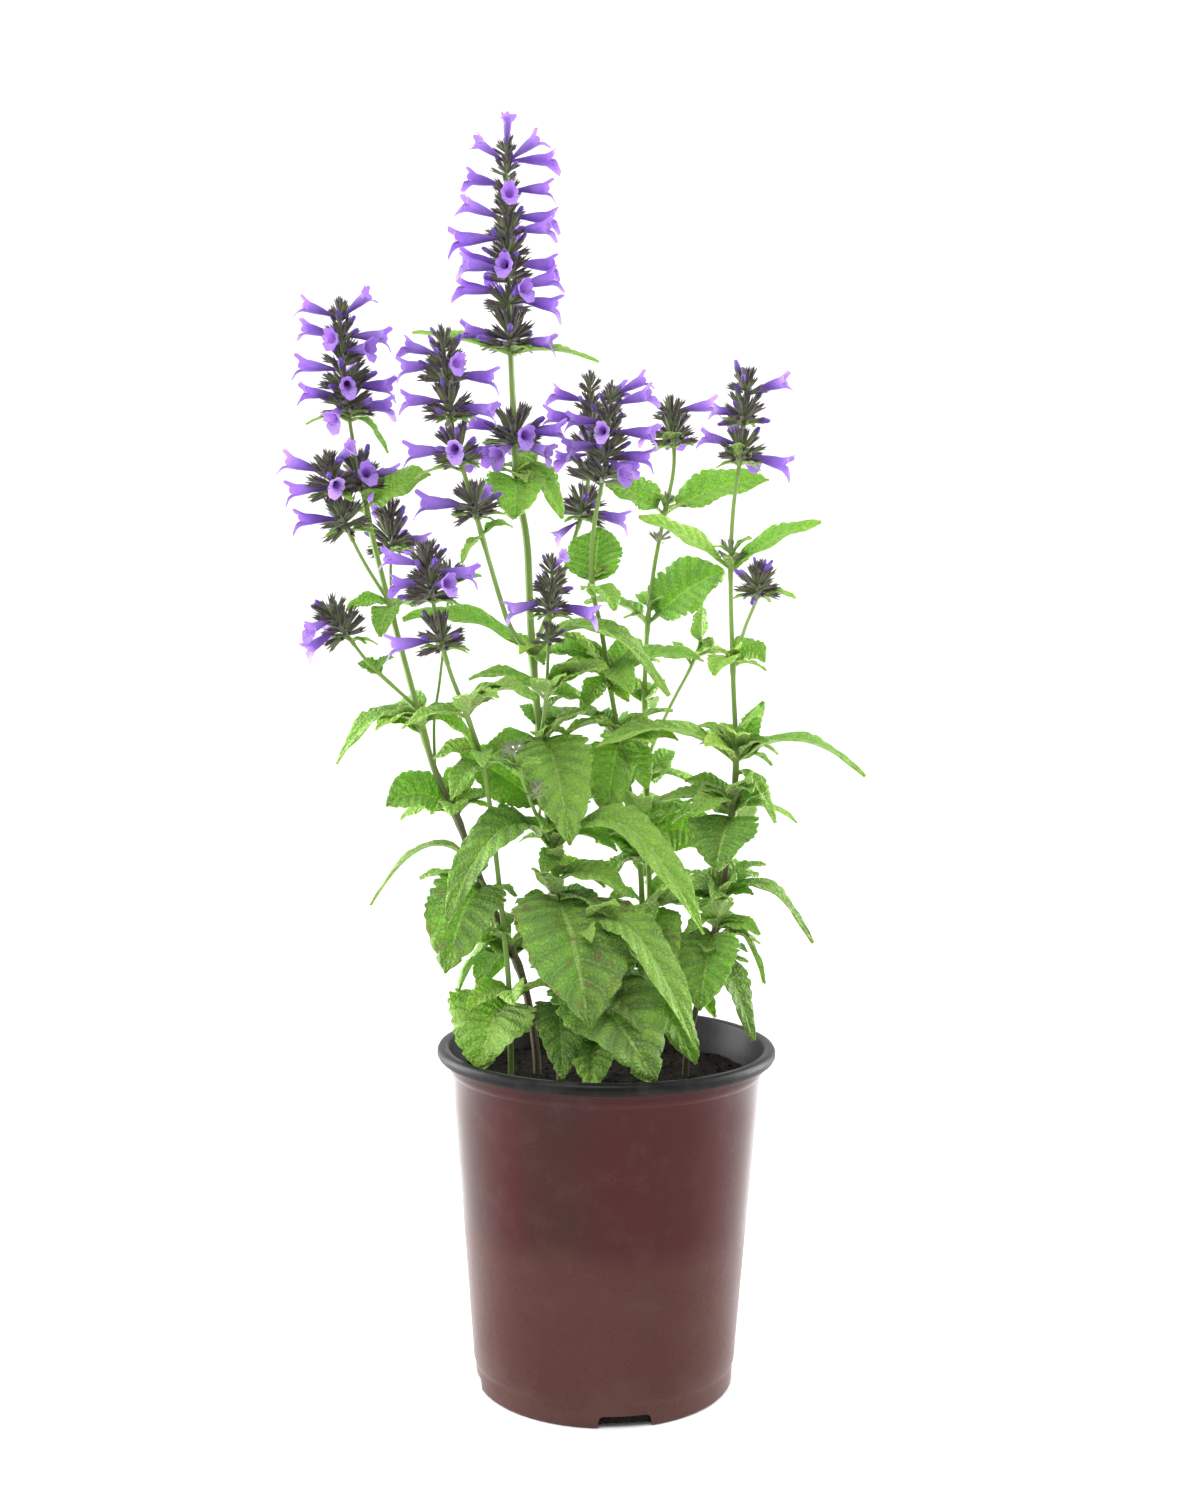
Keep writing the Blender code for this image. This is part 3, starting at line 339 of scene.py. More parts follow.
def set_modifiers(piece):
    """Turns a piece's modifiers into plain mesh."""
    graph = bpy.context.evaluated_depsgraph_get()
    made = bpy.data.meshes.new_from_object(piece.evaluated_get(graph))
    piece.modifiers.clear()
    piece.data = made


def smooth(piece, degrees):
    """Smooth faces, with sharp edges where the surface turns by more than this angle."""
    piece.data.shade_smooth()
    piece.data.set_sharp_from_angle(angle=math.radians(degrees))


pot = turned("pot_shell", pot_profile(), POT_SIDES)
for degrees in NOTCH_ANGLES:
    corners = []
    near, far = NOTCH_REACH
    for z, taper in ((-0.002, 0.0), (NOTCH_HEIGHT - 0.001, NOTCH_TAPER / 2), (NOTCH_HEIGHT, NOTCH_TAPER)):
        half = NOTCH_WIDTH / 2 - taper
        for out, along in ((near, -half), (far, -half), (far, half), (near, half)):
            corners.append(Matrix.Rotation(math.radians(degrees), 3, "Z") @ Vector((out, along, z)))
    sides = [(a, (a + 1) % 4, (a + 1) % 4 + 4, a + 4) for a in range(4)]
    upper_sides = [tuple(i + 4 for i in side) for side in sides]
    notch = shown("notch", corners, [(3, 2, 1, 0), (8, 9, 10, 11)] + sides + upper_sides)
    cut = pot.modifiers.new("notch", "BOOLEAN")
    cut.object = notch
    cut.operation = "DIFFERENCE"
    cut.solver = "EXACT"
    set_modifiers(pot)
    bpy.data.objects.remove(notch)
smooth(pot, 35)

pot_plastic, shader, place = finish("pot_plastic")
height = place.axis(2)
worn = place.speckle(55.0, 5.0, 0.6)
fine = place.speckle(900.0, 2.0)
cloud = (place * (1.0, 1.0, 0.35)).speckle(16.0, 1.0)
streaks = (place * (60.0, 60.0, 2.5)).speckle(1.0, 3.0)
# Painted reflection: below the wavy line the maroon gives way to a lighter brown; the same line makes the
# lower half a little rougher
upper = height + (cloud - 0.5) * 0.018 + (worn - 0.5) * 0.004
upper = upper.between(REFLECTION_LINE - REFLECTION_FADE[0], REFLECTION_LINE + REFLECTION_FADE[1])
maroon = (cloud + (streaks - 0.5) * 0.3).between(0.34, 0.66).mix(MAROON_BROWN, MAROON_RED)
colour = (upper * 0.9 + (streaks - 0.5) * 0.2).mix(REFLECTION_BROWN, maroon)
dusty = (worn - 0.40) * 0.9 + height.between(0.03, 0.0) * 0.3 + (fine - 0.5) * 0.3
feed(
    shader,
    Base_Color=(dusty.between(0.05, 0.5) * 0.4).mix(colour, POT_DUST),
    Roughness=0.20 + (worn - 0.5) * 0.14 + (1 - upper) * 0.08,
    Normal=bump(fine * 0.3 + worn, 0.12, 0.0006),
    Specular_IOR_Level=0.20,
)
pot.data.materials.append(pot_plastic)

black_plastic, shader, place = finish("black_plastic")
worn = place.speckle(70.0, 5.0, 0.6)
feed(
    shader,
    Base_Color=worn.between(0.45, 0.75).mix(BLACK_PLASTIC, BLACK_DUST),
    Roughness=0.30 + worn * 0.2,
    Normal=bump(place.speckle(400.0, 3.0), 0.15, 0.0005),
    Specular_IOR_Level=0.14,
)
pot.data.materials.append(black_plastic)
for face in pot.data.polygons:
    out = Vector((face.center.x, face.center.y, 0.0))
    outer = out.length > FOOT_RADIUS - 0.0005 and face.normal.dot(out) > -0.001
    face.material_index = 0 if outer and face.center.z < LIP_BOTTOM - 0.0003 else 1

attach(pot, "root")
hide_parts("pot")


# The soil
#
# Dark peat potting soil with bits of bark fills the pot to a finger's width below its mouth. Its top is
# lumpy, and loose crumbs lie on it.

SOIL_TOP = 0.150
SOIL_RINGS = 34
SOIL_SIDES = 110
CRUMBS_PER_M2 = 62000.0
CRUMB_SIZE = 0.0016
SOIL_DARK = (0.004, 0.0032, 0.0026)
SOIL_LIGHT = (0.024, 0.016, 0.010)
SOIL_GAP = 0.0003
ROLLING = 0.0009
LUMPS = 0.0016


def pot_radius(z):
    """The inner wall's radius at a height above the foot band."""
    share = (z - WALL_FOOT) / (NECK_HEIGHT - WALL_FOOT)
    return BODY_FOOT_RADIUS + (BODY_TOP_RADIUS - BODY_FOOT_RADIUS) * share - WALL


def soil_height(x, y):
    """How high the soil's lumpy top is at a place."""
    rolling = ROLLING * math.sin(130 * x + 1.0) * math.cos(160 * y)
    lumps = LUMPS * noise.noise(Vector((x, y, 0.0)) * 140.0)
    grit = ROLLING * noise.noise(Vector((x, y, 0.3)) * 420.0)
    return SOIL_TOP + 0.0008 + rolling + lumps + grit


edge_radius = pot_radius(SOIL_TOP) - 0.0002
soil_profile = [
    (0.0, FLOOR + SOIL_GAP), (FOOT_RADIUS - WALL - SOIL_GAP, FLOOR + SOIL_GAP),
    (FOOT_RADIUS - WALL - SOIL_GAP, FOOT_HEIGHT), (BODY_FOOT_RADIUS - WALL - SOIL_GAP, WALL_FOOT),
    (edge_radius, SOIL_TOP - 0.001),
]
soil_profile += [(edge_radius * (1 - k / SOIL_RINGS), SOIL_TOP) for k in range(1, SOIL_RINGS + 1)]
soil = turned("soil_bed", soil_profile, SOIL_SIDES)
for vertex in soil.data.vertices:
    if vertex.co.z > SOIL_TOP - 0.0005:
        vertex.co.z = soil_height(vertex.co.x, vertex.co.y)
smooth(soil, 80)

potting_soil, shader, place = finish("potting_soil")
grain = place.speckle(650.0, 6.0, 0.7)
patch = place.speckle(90.0, 3.0)
bits = place.node("ShaderNodeTexVoronoi", {"feature": "F1"}, {"Vector": place, "Scale": 520.0})
colour = (grain * 0.7 + patch * 0.3).between(0.35, 0.75).mix(SOIL_DARK, SOIL_LIGHT)
feed(
    shader,
    Base_Color=colour,
    Roughness=0.95 - grain * 0.2,
    Normal=bump(grain + bits, 0.9, 0.0012),
    Specular_IOR_Level=0.12,
)
soil.data.materials.append(potting_soil)


def new_tree(name, inputs):
    """A geometry tree with named inputs, given as (name, kind of socket, value), and a wire for each."""
    tree = bpy.data.node_groups.new(name, "GeometryNodeTree")
    tree.interface.new_socket("Geometry", in_out="OUTPUT", socket_type="NodeSocketGeometry")
    for label, kind, value in [("Geometry", "Geometry", None), *inputs]:
        socket = tree.interface.new_socket(label, in_out="INPUT", socket_type="NodeSocket" + kind)
        if value is not None:
            socket.default_value = value
    source = tree.nodes.new("NodeGroupInput")
    return tree, {output.name: Wire(output) for output in source.outputs if output.name}


def close_tree(geometry, material):
    """Ends a tree: its copies become mesh, with their material."""
    real = geometry.node("GeometryNodeRealizeInstances", (), {"Geometry": geometry})
    done = real.node("GeometryNodeSetMaterial", (), {"Geometry": real, "Material": material})
    end = geometry.tree.nodes.new("NodeGroupOutput")
    geometry.tree.links.new(done.socket, end.inputs[0])


def grow(piece, tree, **settings):
    """Runs a tree on a piece with its inputs set by name, and keeps the result as plain mesh."""
    step = piece.modifiers.new(tree.name, "NODES")
    step.node_group = tree
    for socket in tree.interface.items_tree:
        if socket.in_out == "INPUT" and socket.name.replace(" ", "_") in settings:
            step[socket.identifier] = settings[socket.name.replace(" ", "_")]
    set_modifiers(piece)
    return piece


def crumb_tree():
    """Loose crumbs of several sizes, turned every way, scattered on a surface."""
    tree, given = new_tree("crumbs", [
        ("Per area", "Float", 1.0), ("Size", "Float", 0.001), ("Crumb", "Object", None),
        ("Material", "Material", None),
    ])
    start = given["Geometry"]
    up = start.node("GeometryNodeInputNormal").axis(2)
    places = start.node(
        "GeometryNodeDistributePointsOnFaces", (),
        {"Mesh": start, "Density": given["Per area"] * up.between(0.3, 0.6), "Seed": 4},
    )
    crumb = start.node("GeometryNodeObjectInfo", (), {"Object": given["Crumb"]}, "Geometry")
    turn = start.node(
        "FunctionNodeRandomValue", {"data_type": "FLOAT_VECTOR"},
        {0: (0, 0, 0), 1: (6.3, 6.3, 6.3), "Seed": 5},
    )
    share = start.node("FunctionNodeRandomValue", {"data_type": "FLOAT"}, {2: 0.0, 3: 1.0, "Seed": 6}, 1)
    scale = given["Size"] * (0.35 + share**4 * 1.6)
    crumbs = start.node(
        "GeometryNodeInstanceOnPoints", (),
        {"Points": places, "Instance": crumb, "Rotation": turn, "Scale": scale * (1.0, 1.0, 0.7)},
    )
    close_tree(crumbs, given["Material"])
    return tree


crumb = bpy.data.objects.new("crumb", bpy.data.meshes.new("crumb"))
scene.collection.objects.link(crumb)
shape = bmesh.new()
bmesh.ops.create_icosphere(shape, subdivisions=1, radius=0.5)
for vertex in shape.verts:
    vertex.co *= 1.0 + 0.5 * noise.noise(vertex.co * 3.1)
shape.to_mesh(crumb.data)
shape.free()
crumbs = bpy.data.objects.new("soil_crumbs", soil.data.copy())
scene.collection.objects.link(crumbs)
grow(crumbs, crumb_tree(), Per_area=CRUMBS_PER_M2, Size=CRUMB_SIZE, Crumb=crumb, Material=potting_soil)
bpy.data.objects.remove(crumb)

for piece in (soil, crumbs):
    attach(piece, "root")
    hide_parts("soil")


# The stems
#
# Square stems with rounded corners grow from the soil, and thicken where each pair of leaves joins them.
# They are green and downy, and the left and right ones turn purplish brown low down.


def smooth_line(places, pieces=5):
    """Points along a smooth curve through places given in millimetres."""
    via = [Vector(place) * MM for place in places]
    via = [2 * via[0] - via[1]] + via + [2 * via[-1] - via[-2]]
    line = []
    for a, b, c, d in zip(via, via[1:], via[2:], via[3:]):
        for i in range(pieces):
            t = i / pieces
            slope = c - a
            bend = 2 * a - 5 * b + 4 * c - d
            twist = 3 * b - a - 3 * c + d
            line.append(0.5 * (2 * b + slope * t + bend * t**2 + twist * t**3))
    line.append(via[-2])
    return line


def at_height(line, z):
    """Where a rising line passes a height, and its direction there."""
    for a, b in zip(line, line[1:]):
        if a.z <= z <= b.z:
            return a.lerp(b, (z - a.z) / (b.z - a.z)), (b - a).normalized()
    end = line[0] if z < line[0].z else line[-1]
    return end.copy(), (line[-1] - line[-2]).normalized()


TALL = smooth_line([
    (-22, -12, 128), (-22, -12, 156), (-24, -13, 190), (-25, -14, 225), (-26, -12, 260), (-31, -10, 300),
    (-35, -8, 335), (-38, -6, 372), (-40, -4, 410), (-45, -2, 438), (-47, -1, 475), (-49, 0, 515),
    (-50, 0, 560), (-51, 0, 604),
])
TALL_FRONT = smooth_line([
    (-33, -11, 313), (-30, -22, 336), (-29, -27, 355), (-28, -30, 376), (-27, -32, 404),
])
TALL_LEFT = smooth_line([
    (-37, -8, 356), (-46, -20, 368), (-51, -28, 382), (-57, -34, 403), (-65, -40, 432), (-71, -42, 453),
    (-75, -42, 477), (-77, -42, 505),
])
TALL_RIGHT = smooth_line([
    (-37, -6, 357), (-32, 8, 371), (-27, 16, 383), (-18, 26, 412), (-12, 32, 436), (-10, 35, 466),
    (-11, 36, 496),
])
TALL_YOUNG = smooth_line([
    (-27, -12, 268), (-34, -28, 282), (-39, -40, 297), (-44, -48, 312), (-47, -52, 326),
])
TALL_BUD = smooth_line([(-33, -26, 280), (-32, -36, 288), (-35, -46, 302)])
LEFT = smooth_line([
    (-34, 2, 128), (-34, 2, 156), (-37, 0, 180), (-42, -3, 202), (-51, -6, 224), (-61, -9, 247),
    (-72, -11, 277), (-84, -13, 304), (-93, -16, 338), (-102, -18, 372), (-111, -20, 408), (-117, -20, 436),
    (-122, -20, 463), (-125, -20, 490), (-127, -20, 522),
])
LEFT_SIDE = smooth_line([
    (-104, -18, 381), (-114, -27, 398), (-121, -33, 413), (-126, -38, 428), (-131, -42, 450),
])
LEFT_BACK = smooth_line([(-103, -18, 379), (-105, -4, 394), (-106, 6, 406), (-107, 12, 418), (-108, 15, 432)])
FAR_LEFT = smooth_line([
    (-91, -15, 331), (-102, -24, 342), (-112, -29, 352), (-121, -32, 364), (-134, -35, 382),
])
LEFT_THIN = smooth_line([(-83, -13, 303), (-85, 6, 324), (-83, 14, 343), (-80, 22, 378), (-79, 25, 402)])
FRONT = smooth_line([
    (-46, -14, 128), (-46, -14, 156), (-47, -14, 195), (-51, -14, 237), (-55, -15, 272), (-59, -26, 305),
    (-66, -38, 329), (-74, -47, 352), (-80, -51, 378), (-84, -51, 408),
])
MIDDLE = smooth_line([
    (16, 2, 128), (16, 2, 156), (17, 2, 227), (14, 2, 272), (7, 1, 305), (1, -1, 338), (-4, -3, 368),
    (-9, -5, 392), (-8, -7, 418), (-4, -8, 440), (-1, -9, 466), (0, -10, 486),
])
BACK = smooth_line([
    (25, 20, 128), (25, 20, 156), (24, 25, 195), (21, 32, 240), (19, 37, 295), (18, 42, 345), (21, 48, 390),
    (27, 51, 425), (32, 55, 452), (30, 57, 486),
])
BACK_YOUNG = smooth_line([(19, 38, 302), (27, 49, 320), (34, 55, 334), (42, 60, 349), (48, 62, 364)])
RIGHT = smooth_line([
    (39, 0, 128), (39, 0, 156), (42, 0, 177), (48, -1, 202), (55, -3, 238), (59, -5, 275), (61, -7, 306),
    (59, -9, 345), (57, -10, 395), (58, -10, 428), (62, -10, 460), (63, -10, 492),
])
RIGHT_SIDE = smooth_line([(59, -9, 354), (64, -20, 372), (68, -26, 384), (70, -29, 402)])
LOW = smooth_line([(-4, -20, 128), (-4, -20, 156), (-7, -22, 190), (-11, -27, 232)])

# A leaf is (line, height of its node, reach from node to tip, arch, width, turn of its face in degrees)
LEAVES = {
    "stem_tall": [
        (TALL, 438, (0, -22, -18), 7, 27, 0),
        (TALL, 440, (22, -8, -19), 11, 17, 25),
        (TALL, 437, (-3, 25, -8), 7, 20, 0),
        (TALL, 356, (-61, -12, 17), 9, 18, 25),
        (TALL, 356, (65, -14, -18), 22, 19, 15),
        (TALL, 315, (15, -30, -46), 14, 34, 10),
        (TALL, 317, (30, 34, 6), 8, 24, 0),
        (TALL, 281, (-43, 6, 28), 3, 27, 55),
        (TALL, 283, (26, 22, 8), 6, 20, 0),
        (TALL, 262, (-49, -34, -28), 27, 25, 20),
        (TALL, 262, (70, -40, -32), 31, 22, 20),
        (TALL, 248, (34, -18, -2), 7, 19, 20),
        (TALL, 240, (17, -44, -52), 13, 48, 0),
        (TALL, 226, (-12, 42, -20), 12, 26, 0),
        (TALL, 205, (47, -44, -42), 9, 42, 20),
        (TALL, 190, (4, -38, -28), 8, 24, 0),
        (LOW, 228, (52, -18, -54), 24, 24, 25),
        (LOW, 196, (28, -22, -18), 9, 24, 10),
        (LOW, 172, (-2, -36, -14), 7, 24, 0),
        (LOW, 172, (12, 18, -8), 6, 16, 0),
        (TALL_FRONT, 336, (-36, -4, 9), 7, 13, 20),
        (TALL_FRONT, 337, (27, -8, 14), 4, 14, 20),
        (TALL_LEFT, 411, (-9, -8, -12), 3, 8, 0),
        (TALL_LEFT, 412, (14, 4, 4), 3, 8, 20),
        (TALL_YOUNG, 305, (-11, -6, 6), 2, 7, 30),
        (TALL_YOUNG, 305, (10, -5, 3), 2, 7, 20),
    ],
    "stem_left": [
        (LEFT, 425, (31, -10, 15), 2, 20, 50),
        (LEFT, 422, (-15, 13, -3), 3, 10, 0),
        (LEFT, 380, (-19, -8, -3), 3, 11, 30),
        (LEFT, 378, (-3, -17, -13), 4, 13, 0),
        (LEFT, 377, (9, 20, 2), 3, 12, 0),
        (LEFT, 318, (-40, -12, -13), 16, 19, 12),
        (LEFT, 320, (-22, 18, 2), 7, 14, 0),
        (LEFT, 322, (22, 14, 6), 5, 12, 20),
        (LEFT, 277, (-33, -13, 8), 10, 24, 45),
        (LEFT, 279, (20, 26, 4), 7, 18, 0),
        (LEFT, 254, (-50, -4, -18), 19, 12, 0),
        (LEFT, 243, (-16, -34, -34), 12, 31, 10),
        (LEFT, 216, (-28, 4, -32), 13, 18, 10),
        (LEFT, 206, (-20, 32, -20), 12, 24, 0),
        (FAR_LEFT, 346, (-12, 2, 6), 2, 9, 40),
        (FAR_LEFT, 349, (8, 3, 6), 2, 6, 20),
    ],
    "stem_front": [
        (FRONT, 328, (-30, -6, -5), 5, 13, 15),
        (FRONT, 329, (32, -8, 8), 9, 18, 15),
        (FRONT, 304, (-14, -16, -14), 6, 15, 10),
        (FRONT, 188, (-14, -20, -26), 10, 38, 10),
    ],
    "stem_middle": [
        (MIDDLE, 388, (3, 9, 30), 1, 28, 0),
        (MIDDLE, 388, (11, -15, -10), 4, 15, 0),
        (MIDDLE, 350, (-30, 10, 8), 5, 15, 40),
        (MIDDLE, 344, (45, -6, 10), 8, 15, 25),
        (MIDDLE, 343, (-13, -9, -14), 5, 14, 20),
        (MIDDLE, 315, (-6, -13, -38), 8, 27, 0),
        (MIDDLE, 315, (14, 28, -4), 8, 20, 0),
        (MIDDLE, 309, (12, -12, -16), 7, 18, 15),
        (MIDDLE, 282, (-24, 18, 2), 5, 18, 0),
        (MIDDLE, 268, (10, -26, -14), 8, 18, 10),
        (MIDDLE, 256, (-16, -8, -8), 5, 16, 0),
        (MIDDLE, 230, (14, -28, -20), 9, 22, 0),
        (MIDDLE, 205, (-20, 28, -16), 10, 24, 0),
        (MIDDLE, 190, (26, -24, -28), 7, 22, 15),
    ],
    "stem_back": [
        (BACK, 426, (-30, -6, 14), 4, 22, 50),
        (BACK, 426, (53, 4, 18), 5, 22, 45),
        (BACK, 371, (38, -8, 27), 4, 32, 60),
        (BACK, 371, (-32, 16, 10), 6, 20, 0),
        (BACK, 331, (10, -6, 12), 1, 13, 30),
        (BACK, 331, (-12, 18, 6), 3, 15, 0),
        (BACK, 290, (6, 34, -2), 8, 20, 0),
        (BACK, 262, (31, -5, -2), 8, 26, 50),
        (BACK, 262, (-26, 24, -4), 8, 22, 0),
        (BACK, 232, (24, 26, -10), 10, 24, 0),
        (BACK, 196, (2, 36, -12), 10, 24, 0),
        (BACK, 190, (32, 22, -20), 10, 20, 0),
        (BACK_YOUNG, 350, (-10, 3, 12), 1, 8, 20),
        (BACK_YOUNG, 354, (9, -7, 6), 2, 15, 30),
        (BACK_YOUNG, 354, (28, 6, -3), 4, 10, 10),
        (BACK_YOUNG, 360, (1, -3, 20), 1, 11, 20),
    ],
    "stem_right": [
        (RIGHT, 398, (-44, -10, 24), 3, 16, 35),
        (RIGHT, 398, (42, -6, 22), 4, 14, 35),
        (RIGHT, 354, (-10, -18, -6), 4, 15, 0),
        (RIGHT, 352, (15, -4, 2), 6, 17, 35),
        (RIGHT, 306, (-67, -16, 8), 12, 19, 15),
        (RIGHT, 306, (61, -8, -6), 14, 15, 10),
        (RIGHT, 300, (18, -14, -22), 8, 12, 0),
        (RIGHT, 309, (4, 28, 10), 4, 17, 0),
        (RIGHT, 307, (13, 3, 28), 0, 12, 40),
        (RIGHT, 281, (-38, -14, 6), 6, 15, 10),
        (RIGHT, 281, (31, -4, -4), 6, 11, 5),
        (RIGHT, 279, (-9, -26, -22), 5, 28, 0),
        (RIGHT, 280, (8, 24, -10), 6, 18, 0),
        (RIGHT, 237, (44, -8, -18), 17, 14, 10),
        (RIGHT, 237, (-37, -8, -3), 6, 15, 10),
        (RIGHT, 238, (-10, 24, 2), 5, 16, 0),
        (RIGHT, 221, (-8, -25, -32), 8, 26, 0),
        (RIGHT, 221, (26, 12, -26), 15, 17, 20),
        (RIGHT, 205, (22, -14, -33), 13, 18, 15),
    ],
}

# A stalk is (line, low, high, half width at its foot, half width at its top), in millimetres
STALKS = {
    "stem_tall": [
        (TALL, 137, 451, 2.4, 1.9),
        (TALL_FRONT, 313, 359, 1.1, 0.9),
        (TALL_LEFT, 356, 415, 1.3, 1.1),
        (TALL_RIGHT, 357, 418, 1.3, 1.1),
        (TALL_YOUNG, 268, 314, 1.0, 0.9),
        (TALL_BUD, 280, 294, 0.9, 0.8),
        (LOW, 137, 231, 1.6, 1.1),
    ],
    "stem_left": [
        (LEFT, 137, 428, 2.2, 1.4),
        (LEFT_SIDE, 381, 409, 1.0, 0.9),
        (LEFT_BACK, 379, 402, 1.0, 0.9),
        (FAR_LEFT, 331, 361, 1.0, 0.9),
        (LEFT_THIN, 303, 385, 1.0, 0.8),
    ],
    "stem_front": [(FRONT, 137, 353, 1.9, 1.2)],
    "stem_middle": [(MIDDLE, 137, 432, 2.1, 1.3)],
    "stem_back": [(BACK, 137, 457, 2.1, 1.2), (BACK_YOUNG, 302, 362, 1.1, 0.8)],
    "stem_right": [(RIGHT, 137, 442, 2.1, 1.2), (RIGHT_SIDE, 354, 382, 1.0, 0.9)],
}
STALK_STEP = 0.0025
JOINT_SWELL = 0.28
JOINT_LENGTH = 0.004
SECTION_SIDES = 16
SECTION_MEAN = 0.84
SECTION_CORNER = 0.12
FEWEST_STEPS = 4
STEM_GREEN = (0.185, 0.310, 0.050)
STEM_PURPLE = (0.085, 0.038, 0.036)
STEM_DOWN = (0.23, 0.30, 0.14)
# Purple skin fades out from the second height up to the first, in metres; other stems show none of it
PURPLE_TOP = {"stem_right": (0.36, 0.22), "stem_left": (0.36, 0.24), "stem_tall": (0.20, 0.12)}
ALL_GREEN = (0.12, 0.10)


def marked(piece, **values):
    """Gives each point of a piece one number or vector of each named kind."""
    for name, numbers in values.items():
        vector = isinstance(numbers[0], (Vector, tuple))
        mark = piece.data.attributes.new(name, "FLOAT_VECTOR" if vector else "FLOAT", "POINT")
        flat = [part for number in numbers for part in number] if vector else numbers
        mark.data.foreach_set("vector" if vector else "value", flat)
    return piece


def read(start, name, kind="FLOAT_VECTOR"):
    """A wire from a named attribute, in a geometry tree."""
    return start.node("GeometryNodeInputNamedAttribute", {"data_type": kind}, {"Name": name})


def seen(start, name, out="Vector"):
    """A wire from a named attribute, in a material."""
    return start.node("ShaderNodeAttribute", {"attribute_name": name}, (), out)


def stalk_tree():
    """A tube with the stem's section along each line, as thick as the line's points say."""
    tree, given = new_tree("stalks", [("Section", "Object", None), ("Material", "Material", None)])
    start = given["Geometry"]
    curve = start.node("GeometryNodeMeshToCurve", (), {"Mesh": start})
    section = start.node("GeometryNodeObjectInfo", (), {"Object": given["Section"]}, "Geometry")
    ring = section.node("GeometryNodeMeshToCurve", (), {"Mesh": section})
    tube = curve.node(
        "GeometryNodeCurveToMesh", (),
        {"Curve": curve, "Profile Curve": ring, "Scale": read(start, "thick", "FLOAT"), "Fill Caps": True},
    )
    close_tree(tube, given["Material"])
    return tree


corners = []
for k in range(SECTION_SIDES):
    angle = 2 * math.pi * k / SECTION_SIDES
    reach = SECTION_MEAN + SECTION_CORNER * math.cos(4 * angle - math.pi)
    corners.append((reach * math.cos(angle), reach * math.sin(angle), 0.0))
section = shown("section", corners, edges=[(k, (k + 1) % SECTION_SIDES) for k in range(SECTION_SIDES)])

stem_skin, shader, place = finish("stem_skin")
along = seen(place, "purple", "Fac")
down = place.speckle(1800.0, 2.0)
blotch = (place * (300.0, 300.0, 40.0)).speckle(1.0, 3.0)
colour = (along + (blotch - 0.5) * 0.6).between(0.25, 0.8).mix(STEM_GREEN, STEM_PURPLE)
feed(
    shader,
    Base_Color=((down - 0.5) * 0.5 + blotch * 0.3).between(0.0, 0.5).mix(colour, STEM_DOWN),
    Roughness=0.5 + down * 0.2,
    Normal=bump(down, 0.35, 0.0002),
    Specular_IOR_Level=0.30,
    Sheen_Weight=0.05,
)

stalks = stalk_tree()
for node, parts in STALKS.items():
    points = []
    edges = []
    thick = []
    purple = []
    green_above, purple_below = PURPLE_TOP.get(node, ALL_GREEN)
    for line, low, high, foot, top in parts:
        joints = [MM * height for other, height, *_ in LEAVES[node] if other is line]
        count = max(FEWEST_STEPS, round((high - low) * MM / STALK_STEP))
        for k in range(count + 1):
            share = k / count
            z = (low + (high - low) * share) * MM
            points.append(at_height(line, z)[0])
            swell = sum(math.exp(-(((z - joint) / JOINT_LENGTH) ** 2)) for joint in joints)
            thick.append((foot + (top - foot) * share) * MM * (1 + JOINT_SWELL * min(1.0, swell)))
            purple.append(min(1.0, max(0.0, (green_above - z) / (green_above - purple_below))))
            if k:
                edges.append((len(points) - 2, len(points) - 1))
    piece = marked(shown(node.replace("stem", "stalks"), points, edges=edges), thick=thick, purple=purple)
    grow(piece, stalks, Section=section, Material=stem_skin)
    smooth(piece, 60)
    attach(piece, "root")
    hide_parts(node)


# The leaves
#
# Opposite pairs of downy, quilted leaves with round-toothed edges arch out from the stems and hang at their
# drawn-out tips, with young leaves in their axils. Each is one of three flat blades, bent along its midrib.

PETIOLE_SHARE = 0.14
PETIOLE_HALF = 0.95 * MM
PETIOLE_THICK = 1.3 * MM
# Half the width is rise**LEAF_A * (1 - rise)**LEAF_B, scaled so that the widest place is HALF_SHARE
LEAF_A = 0.45
LEAF_B = 0.74
LEAF_PEAK = (LEAF_A / (LEAF_A + LEAF_B)) ** LEAF_A * (LEAF_B / (LEAF_A + LEAF_B)) ** LEAF_B
HALF_SHARE = 0.55
FOLD = math.radians(16.0)
BLADE_THICK = 0.55 * MM
TOOTH_CUT = 0.20
TOOTH_PEAK = 0.62
TOOTH_FOOT = 0.12
VEINS = 8
VEIN_LEAN = 0.17
QUILT = 0.052
GROOVE = 0.03
RIPPLE = 0.055
# A leaf this wide in millimetres has young leaves in its axil, and more of them below this height
SHOOT_WIDTH = 14.0
SHOOT_TOP = 0.345
# A leaf wider than this in millimetres is made wider still where it grows below this height
WIDE_LEAF = 25.0
WIDENING_TOP = 0.28
WIDENING = 1.18

# Painted light and shade: the deep green also paints leaves and grooves in shade, the light green leaves lit
# through
LEAF_DEEP_AND_SHADED = (0.078, 0.162, 0.022)
LEAF_MID = (0.195, 0.365, 0.042)
LEAF_PALE_AND_LIT = (0.390, 0.590, 0.075)
LEAF_UNDER = (0.235, 0.345, 0.110)
LEAF_VEIN = (0.400, 0.520, 0.160)
LEAF_DOWN = (0.270, 0.370, 0.140)
LEAF_RUST = (0.150, 0.085, 0.030)


